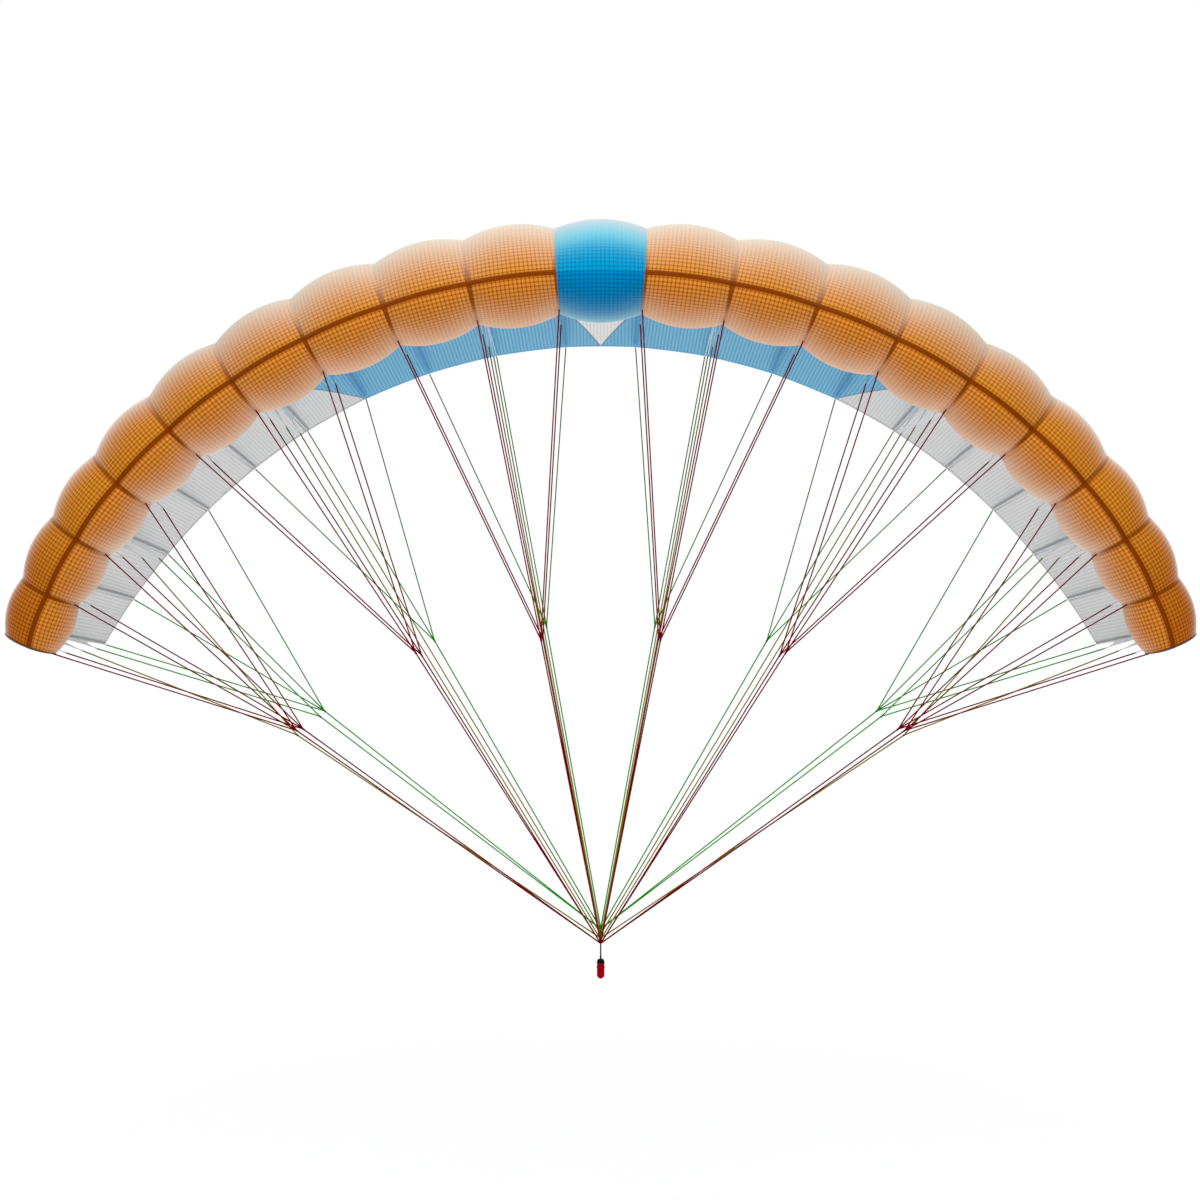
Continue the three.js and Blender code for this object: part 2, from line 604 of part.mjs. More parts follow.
function addLines() {
  for (const [family, { heart, material }] of Object.entries(FAMILIES)) {
    const pieces = [heart()];
    for (const ribs of [leftRibs, rightRibs]) {
      for (const cascade of CASCADES.filter((row) => row.family === family)) {
        pieces.push(...cascadeGeometries(ribs, cascade));
      }
      for (const { tooth, rib } of SINGLE_LINES.filter((row) => row.family === family)) {
        const station = ribs[rib - 1];
        pieces.push(upperLine(station, tooth, lineStart(family, tooth, tabPoint(station, tooth))));
      }
    }
    addMesh(`lines_${family}`, fusedGeometry(pieces), material);
  }
}

addTopPanels();
addNosePanels();
addRibs();
addBar();
addLeaders();
addLines();

export default wing;
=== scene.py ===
# %% [markdown]
# # A parawing with its hand bar
# A parawing is a small wing of a single layer of cloth. Toothed ribs hold its shape, a row of
# blown-up nose cells keeps it open, and thin lines in three colours carry its pull down to a short
# bar in the rider's hand. The CAD frame gives every size, and this lesson dresses it: each step
# below makes one kind of piece, in metres, in the place of the plain solids that it stands for.

# %% Tools and frame
import math
from dataclasses import dataclass

import bpy
import numpy as np
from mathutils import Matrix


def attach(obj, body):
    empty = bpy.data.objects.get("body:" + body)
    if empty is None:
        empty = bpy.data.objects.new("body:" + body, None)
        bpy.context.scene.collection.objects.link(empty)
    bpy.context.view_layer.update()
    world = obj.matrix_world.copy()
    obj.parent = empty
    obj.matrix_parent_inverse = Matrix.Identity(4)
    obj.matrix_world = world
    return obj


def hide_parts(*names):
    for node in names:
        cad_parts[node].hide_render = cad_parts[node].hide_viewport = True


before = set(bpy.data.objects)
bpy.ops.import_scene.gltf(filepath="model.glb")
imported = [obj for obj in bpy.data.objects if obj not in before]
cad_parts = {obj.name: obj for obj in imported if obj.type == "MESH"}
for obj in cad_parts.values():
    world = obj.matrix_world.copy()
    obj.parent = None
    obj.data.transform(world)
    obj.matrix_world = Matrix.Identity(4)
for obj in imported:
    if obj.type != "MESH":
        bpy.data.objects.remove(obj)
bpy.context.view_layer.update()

# %% [markdown]
# ## The camera
# The camera stands level in front of the wing, a little over five metres from its bar, with a
# normal lens. A level camera keeps upright lines upright, so the wing's left and right halves stay
# mirror images. The lens is given as a focal length in pixels, as a picture lets it be measured.

# %% Camera
IMAGE_SIDE = 1200
FOCAL_PIXELS = 1667
MIDDLE_ASIDE_PIXELS = 0.7
SENSOR_WIDTH = 36
CAMERA_PLACE = (0, -5.42, 1.198)

lens = bpy.data.cameras.new("camera")
lens.sensor_width = SENSOR_WIDTH
lens.lens = FOCAL_PIXELS / IMAGE_SIDE * SENSOR_WIDTH
lens.shift_x = -MIDDLE_ASIDE_PIXELS / IMAGE_SIDE
camera = bpy.data.objects.new("camera", lens)
camera.location = CAMERA_PLACE
camera.rotation_euler = (math.radians(90), 0, 0)
bpy.context.scene.collection.objects.link(camera)
bpy.context.scene.camera = camera
print("camera:", round(lens.lens, 2), "mm lens at", CAMERA_PLACE)

# %% [markdown]
# ## The plan of the wing
# Nineteen cells hang in an arc between twenty ribs. Each cell slopes a little more than its inner
# neighbour and the last ones are narrower, so a few numbers and a loop give every rib's place. A
# hand-placed curve for each rib would look the same, but it couldn't be changed in one place.

# %% Rib places
RIBS_PER_SIDE = 10
CELL_WIDTH = 0.266
TIP_CELL_NARROWING = 0.34
CELL_TURN_DEG = 7.2
CELL_TURN_GROWTH_DEG = 0.035
TIP_CANT_DEG = 68
ROOT_CHORD = 1.25
CHORD_TAPER = 0.41
CHORD_TAPER_POWER = 4
TIP_SWEEP = 0.156
SWEEP_POWER = 2.5
NOSE_AHEAD_OF_BAR = 0.42
NOSE_ABOVE_BAR = 2.182
CREST_UP = 0.155
TIP_CREST_GROWTH = 0.15
CREST_GROWTH_POWER = 8


@dataclass(frozen=True)
class Rib:
    """One rib: its number from the centre, its side, and the place, lean and size of its profile."""

    number: int
    side: int
    out: float
    back: float
    up: float
    cant: float
    chord: float
    crest: float

    @property
    def name(self):
        return f"rib_{'left' if self.side < 0 else 'right'}_{self.number}"


def cell_slope(cell):
    return CELL_TURN_DEG * cell + CELL_TURN_GROWTH_DEG * cell**2


def cell_width(cell):
    return CELL_WIDTH * (1 - TIP_CELL_NARROWING * ((cell - 1) / (RIBS_PER_SIDE - 2)) ** 2)


def ribs_of_side(side):
    half_arc = CELL_WIDTH / 2 + sum(cell_width(cell) for cell in range(1, RIBS_PER_SIDE))
    out, up, arc = CELL_WIDTH / 2, NOSE_ABOVE_BAR, CELL_WIDTH / 2
    ribs = []
    for number in range(1, RIBS_PER_SIDE + 1):
        if number > 1:
            slope = math.radians(cell_slope(number - 1))
            out += cell_width(number - 1) * math.cos(slope)
            up -= cell_width(number - 1) * math.sin(slope)
            arc += cell_width(number - 1)
        along = arc / half_arc
        cant = min((cell_slope(number - 1) + cell_slope(number)) / 2, TIP_CANT_DEG)
        ribs.append(
            Rib(
                number,
                side,
                out,
                TIP_SWEEP * along**SWEEP_POWER - NOSE_AHEAD_OF_BAR,
                up,
                math.radians(cant),
                ROOT_CHORD * (1 - CHORD_TAPER * along**CHORD_TAPER_POWER),
                CREST_UP * (1 + TIP_CREST_GROWTH * along**CREST_GROWTH_POWER),
            )
        )
    return ribs


left_ribs, right_ribs = ribs_of_side(-1), ribs_of_side(1)
all_ribs = left_ribs[::-1] + right_ribs
print("ribs:", len(all_ribs), "tip at", round(right_ribs[-1].out, 3), "m out")

# %% [markdown]
# ## The shape of a cell
# In a rib's own plane the cloth runs from under the nose, round the leading edge and over the crest
# to the tail. One number, the turn, walks along it: -1 under the nose, 0 at the leading edge, 1 at
# the crest and 2 at the tail. Between two ribs the cloth is a ruled face that the wind blows out
# along its own normal, most round the nose and hardly at all at the tail. A cloth simulation would
# find a like shape, but this one lies on the CAD solids by construction.

# %% Profile and billow
CREST_BACK = 0.28
TAIL_DROP = 0.028
TAIL_FALL_POWER = 1.7
UNDER_NOSE_BACK = 0.148
UNDER_NOSE_DROP = 0.0763
BILLOW_NOSE = 0.11
BILLOW_UNDER_NOSE = 0.098
BILLOW_TAIL = 0.012
SMALL_SHARE = 1e-3


def rib_point(rib, back, up):
    """Points of a rib's plane, by metres back along the chord and up from its leading edge."""
    back, up = np.broadcast_arrays(back, up)
    aside = rib.side * (rib.out + up * math.sin(rib.cant))
    return np.stack([aside, rib.back + back, rib.up + up * math.cos(rib.cant)], axis=-1)


def rear_height(rib, share):
    return rib.crest - (rib.crest + TAIL_DROP) * np.maximum(share, 0) ** TAIL_FALL_POWER


def profile(rib, turn):
    """Back and up, as shares of the chord, at each turn."""
    angle = np.abs(turn) * math.pi / 2
    over_back = np.where(turn <= 1, CREST_BACK * (1 - np.cos(angle)), 1 + (turn - 2) * (1 - CREST_BACK))
    over_up = np.where(turn <= 1, rib.crest * np.sin(angle), rear_height(rib, turn - 1))
    back = np.where(turn < 0, UNDER_NOSE_BACK * (1 - np.cos(angle)), over_back)
    return back, np.where(turn < 0, -UNDER_NOSE_DROP * np.sin(angle), over_up)


def billow(turn):
    return np.interp(turn, (-1, 0, 1, 2), (BILLOW_UNDER_NOSE, BILLOW_NOSE, BILLOW_NOSE, BILLOW_TAIL))


def rail(rib, turn):
    back, up = profile(rib, turn)
    return rib_point(rib, back * rib.chord, up * rib.chord)


def unit(vectors):
    return vectors / np.linalg.norm(vectors, axis=-1, keepdims=True)


def outward(surface, turn, across):
    """Unit normals of a surface that is given by turn and share across, pointing out of the wing."""
    span = surface(turn, across + SMALL_SHARE) - surface(turn, across - SMALL_SHARE)
    chord = surface(turn + SMALL_SHARE, across) - surface(turn - SMALL_SHARE, across)
    return unit(np.cross(span, chord))


def cell_surface(left, right):
    """The outer face of the cell between two ribs, as a function of turn and share across."""
    width = float(np.linalg.norm(rail(left, np.array(0.0)) - rail(right, np.array(0.0))))

    def ruled(turn, across):
        return rail(left, turn) * (1 - across[..., None]) + rail(right, turn) * across[..., None]

    def blown(turn, across):
        turn, across = np.broadcast_arrays(turn, across)
        height = width * billow(turn) * 4 * across * (1 - across)
        return ruled(turn, across) + height[..., None] * outward(ruled, turn, across)

    return blown


print("nose cells bulge by", BILLOW_NOSE, "of their width")


# %% [markdown]
# ## Building meshes
# Every piece here is a mesh built from arrays of points. Cloth is a closed sheet: an outer and an
# inner grid of points, joined round the rim, so it has a real thickness and two faces that can wear
# different finishes. Cord and bar are rows of rings. Each point also carries little vectors for the
# shaders: "weave" is where it lies on the flat cloth in metres, "lay" where it lies on the wing or
# how far it is from a rib's edges, and "run" where it lies along and round a cord. A pattern that
# reads them follows the piece round every curve, as a printed or woven one does.

# %% Mesh helpers
SHARP_ANGLE = math.radians(50)


def rows_of_quads(a, b, c, d):
    return np.stack([corner.ravel() for corner in (a, b, c, d)], axis=1)


def closed_sheet(outer, inner, **marks):
    """A sheet between two grids of points, with face kinds 0 outer, 1 inner and 2 rim."""
    rows, columns = outer.shape[:2]
    top = np.arange(rows * columns).reshape(rows, columns)
    low = top + rows * columns
    rim = [
        rows_of_quads(top[:-1, 0], top[1:, 0], low[1:, 0], low[:-1, 0]),
        rows_of_quads(top[:-1, -1], low[:-1, -1], low[1:, -1], top[1:, -1]),
        rows_of_quads(top[0, :-1], low[0, :-1], low[0, 1:], top[0, 1:]),
        rows_of_quads(top[-1, :-1], top[-1, 1:], low[-1, 1:], low[-1, :-1]),
    ]
    faces = [
        rows_of_quads(top[:-1, :-1], top[:-1, 1:], top[1:, 1:], top[1:, :-1]),
        rows_of_quads(low[:-1, :-1], low[1:, :-1], low[1:, 1:], low[:-1, 1:]),
        np.concatenate(rim),
    ]
    kinds = np.repeat([0, 1, 2], [len(kind) for kind in faces])
    points = np.concatenate([outer.reshape(-1, 3), inner.reshape(-1, 3)])
    on_both = {name: np.tile(mark.reshape(-1, 3), (2, 1)) for name, mark in marks.items()}
    return points, np.concatenate(faces), kinds, on_both


def ring_part(rings, run, ends=None, end_run=None):
    """Rows of rings joined into a loop, or closed by a fan of faces at each of two end points."""
    count, sides = rings.shape[:2]
    index = np.arange(count * sides).reshape(count, sides)
    here, following = (index, np.roll(index, -1, 0)) if ends is None else (index[:-1], index[1:])
    faces = rows_of_quads(here, np.roll(here, -1, 1), np.roll(following, -1, 1), following)
    points, run = rings.reshape(-1, 3), run.reshape(-1, 3)
    if ends is not None:
        first, last = index[0], index[-1]
        low, high = np.full(sides, len(points)), np.full(sides, len(points) + 1)
        fans = [rows_of_quads(np.roll(first, -1), first, low, low)]
        fans.append(rows_of_quads(last, np.roll(last, -1), high, high))
        faces = np.concatenate([faces, *fans])
        points, run = np.concatenate([points, ends]), np.concatenate([run, end_run])
    return points, faces, np.zeros(len(faces), int), {"run": run}


def joined(parts):
    """Several parts as one. A part is its points, faces, face kinds and named marks of the points."""
    points, faces, kinds, marks = zip(*parts)
    starts = np.cumsum([0, *map(len, points[:-1])])
    faces = [part_faces + start for part_faces, start in zip(faces, starts)]
    all_marks = {name: np.concatenate([mark[name] for mark in marks]) for name in marks[0]}
    return np.concatenate(points), np.concatenate(faces), np.concatenate(kinds), all_marks


def add_piece(name, part, finishes, replaced=()):
    """A smooth mesh piece on the wing's one body, with its finishes by face kind."""
    points, faces, kinds, marks = part
    corners = [face[:3] if face[2] == face[3] else face for face in faces.tolist()]
    mesh = bpy.data.meshes.new(name)
    mesh.from_pydata(points.tolist(), [], corners)
    for finish in finishes:
        mesh.materials.append(finish)
    index = np.minimum(kinds, len(finishes) - 1).astype(np.int32)
    mesh.polygons.foreach_set("material_index", index)
    for mark, vectors in marks.items():
        layer = mesh.attributes.new(mark, "FLOAT_VECTOR", "POINT")
        layer.data.foreach_set("vector", vectors.astype(np.float32).ravel())
    mesh.shade_smooth()
    mesh.set_sharp_from_angle(angle=SHARP_ANGLE)
    mesh.validate()
    piece = bpy.data.objects.new(name, mesh)
    bpy.context.scene.collection.objects.link(piece)
    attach(piece, "root")
    if replaced:
        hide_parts(*replaced)
    return piece


def grid_area(grid):
    one = np.cross(grid[1:, :-1] - grid[:-1, :-1], grid[:-1, 1:] - grid[:-1, :-1])
    two = np.cross(grid[:-1, 1:] - grid[1:, 1:], grid[1:, :-1] - grid[1:, 1:])
    return float((np.linalg.norm(one, axis=-1) + np.linalg.norm(two, axis=-1)).sum() / 2)


def walked(points, axis):
    """Distance walked along one axis of a grid of points, from its first row or column."""
    step = np.linalg.norm(np.diff(points, axis=axis), axis=-1)
    start = np.zeros_like(np.take(step, [0], axis=axis))
    return np.concatenate([start, np.cumsum(step, axis=axis)], axis=axis)


print("mesh helpers ready")

# %% [markdown]
# ## Shader helpers
# A finish is a small graph of nodes. Writing each node and link out by hand hides the idea, so a
# Value stands for what a node gives out, and it can be reckoned with like a number: each sum or blend
# adds one node. A Finish is a material in the making, and a group is a graph that many finishes share.

# %% Node helpers
FACING_BLEND = 0.5


def feed(socket, value):
    """Links a Value to a socket, or sets the socket to a plain number or colour."""
    if isinstance(value, Value):
        value.tree.links.new(value.socket, socket)
    else:
        socket.default_value = value


class Value:
    """What a node gives out."""

    def __init__(self, tree, socket):
        self.tree = tree
        self.socket = socket

    def into(self, kind, inputs, output=0, **settings):
        """A new node's output, with values fed to its inputs by index or name."""
        node = self.tree.nodes.new(f"ShaderNode{kind}")
        for name, setting in settings.items():
            setattr(node, name, setting)
        for key, value in inputs.items():
            feed(node.inputs[key], value)
        return Value(self.tree, node.outputs[output])

    def math(self, operation, *others, clamp=False):
        inputs = dict(enumerate((self, *others)))
        return self.into("Math", inputs, operation=operation, use_clamp=clamp)

    def __add__(self, other):
        return self.math("ADD", other)

    def __sub__(self, other):
        return self.math("SUBTRACT", other)

    def __rsub__(self, other):
        return self.math("MULTIPLY_ADD", -1.0, other)

    def __mul__(self, other):
        return self.math("MULTIPLY", other)

    def __truediv__(self, other):
        return self.math("DIVIDE", other)

    def __abs__(self):
        return self.math("ABSOLUTE")

    def rise(self, low, high, to_low=0.0, to_high=1.0):
        """A smooth step from to_low to to_high as the value goes from low to high."""
        inputs = dict(enumerate((self, low, high, to_low, to_high)))
        return self.into("MapRange", inputs, interpolation_type="SMOOTHSTEP")

    def blend(self, first, second):
        """The colour at this share, from 0 to 1, of the way between two."""
        return self.into("Mix", {0: self, 6: first, 7: second}, 2, data_type="RGBA")

    def choose(self, one, other):
        """A number that is one where this mask is 1, and the other where it is 0."""
        return self.into("Mix", {0: self, 2: other, 3: one})

    def texture(self, kind, scale):
        """A Noise or Voronoi pattern over this vector."""
        return self.into(f"Tex{kind}", {"Vector": self, "Scale": scale})

    def apart(self):
        """The three numbers of this vector."""
        node = self.tree.nodes.new("ShaderNodeSeparateXYZ")
        feed(node.inputs[0], self)
        return [Value(self.tree, socket) for socket in node.outputs]


class Finish:
    """A material in the making, with a plain gloss and sheen."""

    def __init__(self, name, gloss=0.0, sheen=0.0):
        self.material = bpy.data.materials.new(name)
        self.material.use_nodes = True
        self.tree = self.material.node_tree
        self.inputs = self.tree.nodes["Principled BSDF"].inputs
        feed(self.inputs["Specular IOR Level"], gloss)
        feed(self.inputs["Sheen Weight"], sheen)

    def marks(self, name):
        """The three numbers of a mesh's own vector mark, and the vector itself."""
        mark = self.tree.nodes.new("ShaderNodeAttribute")
        mark.attribute_name = name
        vector = Value(self.tree, mark.outputs["Vector"])
        return (*vector.apart(), vector)

    def places(self):
        """Where a point lies in its piece, in metres."""
        return Value(self.tree, self.tree.nodes.new("ShaderNodeTexCoord").outputs["Object"])

    def turned_away(self):
        """How far the surface turns away from the eye, from 0 to 1."""
        away = self.tree.nodes.new("ShaderNodeLayerWeight")
        feed(away.inputs["Blend"], FACING_BLEND)
        return Value(self.tree, away.outputs["Facing"])

    def done(self, colour, roughness, height=None, relief=0.0, bumps=1.0):
        """The material. Where a height is given, its bumps have a relief in metres and a strength."""
        feed(self.inputs["Base Color"], colour)
        feed(self.inputs["Roughness"], roughness)
        if height is not None:
            inputs = {"Height": height, "Distance": relief, "Strength": bumps}
            feed(self.inputs["Normal"], height.into("Bump", inputs))
        return self.material


def paint(*screen):
    """A colour as a screen shows it, 0 to 255, in Blender's linear light."""
    shares = [value / 255 for value in screen]
    dark = [share / 12.92 for share in shares]
    light = [((share + 0.055) / 1.055) ** 2.4 for share in shares]
    return (*np.where(np.array(shares) <= 0.04045, dark, light).tolist(), 1.0)


def new_group(name, outputs, recipe, **inputs):
    """A shader node group. Its recipe turns the inputs, given with their defaults, into the outputs."""
    group = bpy.data.node_groups.new(name, "ShaderNodeTree")
    for label, default in inputs.items():
        kind = "NodeSocketVector" if default is None else "NodeSocketFloat"
        socket = group.interface.new_socket(label, in_out="INPUT", socket_type=kind)
        if default is not None:
            socket.default_value = default
    for label in outputs:
        group.interface.new_socket(label, in_out="OUTPUT", socket_type="NodeSocketFloat")
    given = group.nodes.new("NodeGroupInput").outputs
    made = group.nodes.new("NodeGroupOutput").inputs
    results = recipe(*(Value(group, given[label]) for label in inputs))
    for label, result in zip(outputs, results):
        feed(made[label], result)
    return group


def place_group(group, **values):
    """The outputs of a new node of the group, in the tree of the first value that it is fed."""
    tree = next(iter(values.values())).tree
    node = tree.nodes.new("ShaderNodeGroup")
    node.node_tree = group
    for label, value in values.items():
        feed(node.inputs[label], value)
    return [Value(tree, socket) for socket in node.outputs]


print("node helpers ready")

# %% [markdown]
# ## Ripstop, seams and stitches
# Wing cloth is ripstop: thin nylon with a thicker thread every few millimetres both ways, which shows
# as a fine grid. The grid could be an image, but it would blur on a four metre wing. A cosine of the
# cloth's own coordinates stays sharp at any distance. Seams show as soft dark bands where two or
# three layers lie together, and stitches as dashes beside them. All cloth uses these three groups.

# %% Shared cloth groups
TURN = 2 * math.pi
RIPSTOP_PITCH = 0.0128
THREAD_START = 0.1
CROSSING_SHARE = 0.45
GRAIN_SCALE = 900
GRAIN_SHARE = 0.25
STITCH_PITCH = 0.0045
STITCH_SHARE = 0.68
STITCH_HALF_WIDTH = 0.0005
SEAM_SOFTNESS = 0.004


def ripstop_recipe(weave):
    runs = weave.apart()[:2]
    threads = [(run * TURN / RIPSTOP_PITCH).math("COSINE").rise(THREAD_START, 1.0) for run in runs]
    either = threads[0].math("MAXIMUM", threads[1])
    grid = threads[0] * threads[1] * CROSSING_SHARE + either * (1 - CROSSING_SHARE)
    return grid, threads[0], weave.texture("Noise", GRAIN_SCALE) * GRAIN_SHARE + either


def band_recipe(distance, half_width, softness):
    return [((half_width - abs(distance)) / softness).math("ADD", 0.5, clamp=True)]


def stitch_recipe(distance, along, offset):
    in_row = abs(abs(distance) - offset).math("LESS_THAN", STITCH_HALF_WIDTH)
    return [in_row * (along / STITCH_PITCH).math("FRACT").math("LESS_THAN", STITCH_SHARE)]


ripstop = new_group("ripstop threads", ["Grid", "Stripes", "Height"], ripstop_recipe, Weave=None)
band = new_group("seam band", ["Mask"], band_recipe, Distance=0.0, Half=0.0, Softness=0.0)
stitches = new_group("stitches", ["Mask"], stitch_recipe, Distance=0.0, Along=0.0, Offset=0.0)


def band_mask(distance, half_width, softness=SEAM_SOFTNESS, strength=1.0):
    return place_group(band, Distance=distance, Half=half_width, Softness=softness)[0] * strength


def add_stitches(colour, distance, along, thread, offset, strength):
    mask = place_group(stitches, Distance=distance, Along=along, Offset=offset)[0]
    return (mask * strength).blend(colour, thread)


print("cloth groups:", ripstop.name, band.name, stitches.name)

# %% [markdown]
# ## The colours of the canopy
# The nose is orange with a blue centre cell, and behind it lie a white wedge, a blue band and pale
# grey outer panels, parted by straight slanting seams. Cutting the mesh along those seams would give
# the same look with many more pieces. Here the seams are straight lines in the "lay" marks: the
# cell number across the wing, and the share of the chord. Under the wing the same cloth is paler,
# because light comes through it, and it shows only the threads that run along the chord. Each cloth
# below is a pair of colours, for the cloth and for its threads.

# %% Canopy colours
TOP_ORANGE = (paint(195, 124, 35), paint(118, 56, 4))
# The tip orange is painted shade: the same cloth, darker where the outer cells face away from the light
# above.
SHADED_TIP_ORANGE = (paint(177, 99, 25), paint(107, 47, 0))
NOSE_ORANGE = (paint(201, 125, 46), paint(121, 58, 3))
TOP_BLUE = (paint(0, 136, 180), paint(0, 98, 140))
NOSE_BLUE = (paint(0, 120, 175), paint(0, 82, 128))
UNDER_BLUE = (paint(122, 185, 218), paint(86, 150, 187))
GREY = (paint(220, 220, 220), paint(204, 204, 206))
WHITE = (paint(234, 233, 233), paint(214, 213, 214))
# Brown for seams and stitches, and for the painted shade of the tape and the ribs behind the cloth.
SEAM_AND_SHADE_BROWN = paint(113, 46, 0)
TOP_BLUE_PALE = paint(40, 178, 190)
# Seam colours under the wing. Along the ribs they also carry painted shade where the ribs meet the
# cloth.
UNDER_BLUE_SEAM_SHADE = paint(98, 175, 216)
GREY_SEAM_SHADE = paint(164, 164, 165)
EDGE_SLATE = paint(96, 104, 128)
NOSE_END = 0.30
WEDGE_SPREAD = 2.42
BLUE_START = 3.5
BLUE_SPREAD = 3.3
CELL_METRES = 0.25
HALF_CELL = 0.5
COLOUR_SOFTNESS = 0.001
EDGE_HALF = 0.003
EDGE_SOFTNESS = 0.003


def seam_between(station, share, start, spread):
    """Signed distance, in metres and positive outwards, from a slanting seam between two colours."""
    return (station - ((1 - share) * spread + start)) * CELL_METRES


def past(distance):
    return distance.rise(-COLOUR_SOFTNESS, COLOUR_SOFTNESS)


def block_colours(station, share, threads, blue, thread_share):
    """White wedge, blue band and grey outer panels, with the thin dark edges of their seams."""
    out = abs(station)
    wedge_edge = seam_between(out, share, 0.0, WEDGE_SPREAD)
    blue_edge = seam_between(out, share, BLUE_START, BLUE_SPREAD)
    amount = threads * thread_share
    wedge, middle, outer = (amount.blend(*cloth) for cloth in (WHITE, blue, GREY))
    in_grey = past(blue_edge)
    colour = in_grey.blend(past(wedge_edge).blend(wedge, middle), outer)
    for edge in (wedge_edge, blue_edge):
        line = band_mask(edge, EDGE_HALF, EDGE_SOFTNESS, strength=0.7)
        colour = line.blend(colour, EDGE_SLATE)
    return colour, in_grey


print("canopy colours ready")

# %% [markdown]
# ## Nose and top finishes
# The nose has a dark tape inside its leading edge, and the ribs stand behind its seams. Both keep
# some of the light that comes through the cloth, and that shade is painted on as soft brown bands:
# wide just under the leading edge, and thinner towards the first row of lines and over the crest.
# Thin coated cloth also shines white where it turns away from the eye. The shader's own sheen is too
# faint for this cloth, so a Layer Weight node blends the colour towards a pale shine, by a power of
# how far the cloth turns away. Towards the tips, where the upper side looks away from the light, the
# power grows until only a thin rim shines. Seams and tape are more matt than single cloth. On top,
# the blue cell's sheen starts as a paler blue, and behind the nose all cells share one faint white
# shine.

# %% Outside finishes
CLOTH_ROUGHNESS = 0.6
THREAD_RELIEF = 0.0003
NOSE_TAPE = 0.0095
TOP_TAPE = 0.0072
RIB_BAND_HALF = 0.0078
NOSE_BAND_END = 0.002
CREST_BAND_HALF = 0.005
CREST_ALONG = 0.2
ROW_A_ALONG = -0.13
TOP_BAND_ALONG = (0.015, 0.11)
TOP_BAND_STRENGTH = 0.72
CREST_BAND_STRENGTH = 0.66
RIB_STITCHES = 0.006
INSIDE_NOSE_END = (NOSE_END - 0.002, NOSE_END + 0.002)
MATT_SEAM = (0.003, 0.022)
MATT_TAPE = (0.008, 0.018)
NOSE_SEAM_ALONG = (ROW_A_ALONG, -0.04)
NOSE_SEAM_SHINE = (0.75, 0.12)
TOP_SEAM_ALONG = (0.02, 0.14)
TOP_SEAM_SHINE = (0.25, 0.75)
NOSE_TAPE_SHINE = 0.1
TOP_TAPE_SHINE = 0.3
PALING_TURN = (0.15, 0.6)
PALING = 0.62

# How many cells out from the middle a look starts and ends its change.
NOSE_SHINE_CELLS = (3.5, 7.0)
NOSE_POWER_CELLS = (7.5, 9.0)
SHADED_TIP_CELLS = (6.8, 9.2)
TOP_SEAM_CELLS = (3.0, 7.0)
TOP_SHINE_CELLS = (4.0, 7.5)
TOP_POWER_CELLS = (3.6, 9.0)

# Powers of the shine on orange cells, from the middle to the tip, and on the other cloth.
NOSE_POWERS = (2.0, 3.2)
TOP_POWERS = (1.25, 7.0)
NOSE_BLUE_POWER = 3.6
TOP_BLUE_POWER = 2.15
BLOCK_POWER = 4.0

# How strong the nose's shine is on orange and on blue, and the share of it that shows inside.
NOSE_SHINE_AMOUNT = 1.1
NOSE_BLUE_AMOUNT = 0.95
INSIDE_SHINE = 0.3

NOSE_SHINE = paint(238, 208, 186)
OUTER_NOSE_SHINE = paint(238, 224, 212)
NOSE_BLUE_SHINE = paint(212, 252, 255)
TOP_SHINE = paint(198, 193, 182)
TIP_SHINE = paint(250, 246, 242)
TOP_BLUE_SHINE = paint(192, 188, 190)
BLOCK_SHINE = paint(240, 241, 243)


def in_centre(station):
    return abs(station).math("LESS_THAN", HALF_CELL)


def seam_shade_bands(orange, weave, rib_half, rib_strength, tape_half):
    """Painted shade of the tape along the leading edge and of the ribs, which keep light from coming
    through orange cloth.
    """
    _, along, to_rib, _ = weave
    orange = band_mask(to_rib, rib_half, strength=rib_strength).blend(orange, SEAM_AND_SHADE_BROWN)
    return band_mask(along, tape_half, strength=0.96).blend(orange, SEAM_AND_SHADE_BROWN)


def add_shine(finish, colour, shine, power, strength, weave, on_seam, on_tape):
    """Blends a colour towards its pale shine where the cloth turns away from the eye.

    The shares on_seam and on_tape of the shine are left on a rib seam, and on the tape along the
    leading edge.
    """
    _, along, to_rib, _ = weave
    amount = finish.turned_away().math("POWER", power).math("MULTIPLY", strength, clamp=True)
    left = to_rib.rise(*MATT_SEAM, on_seam, 1.0) * abs(along).rise(*MATT_TAPE, on_tape, 1.0)
    return (amount * left).blend(colour, shine)


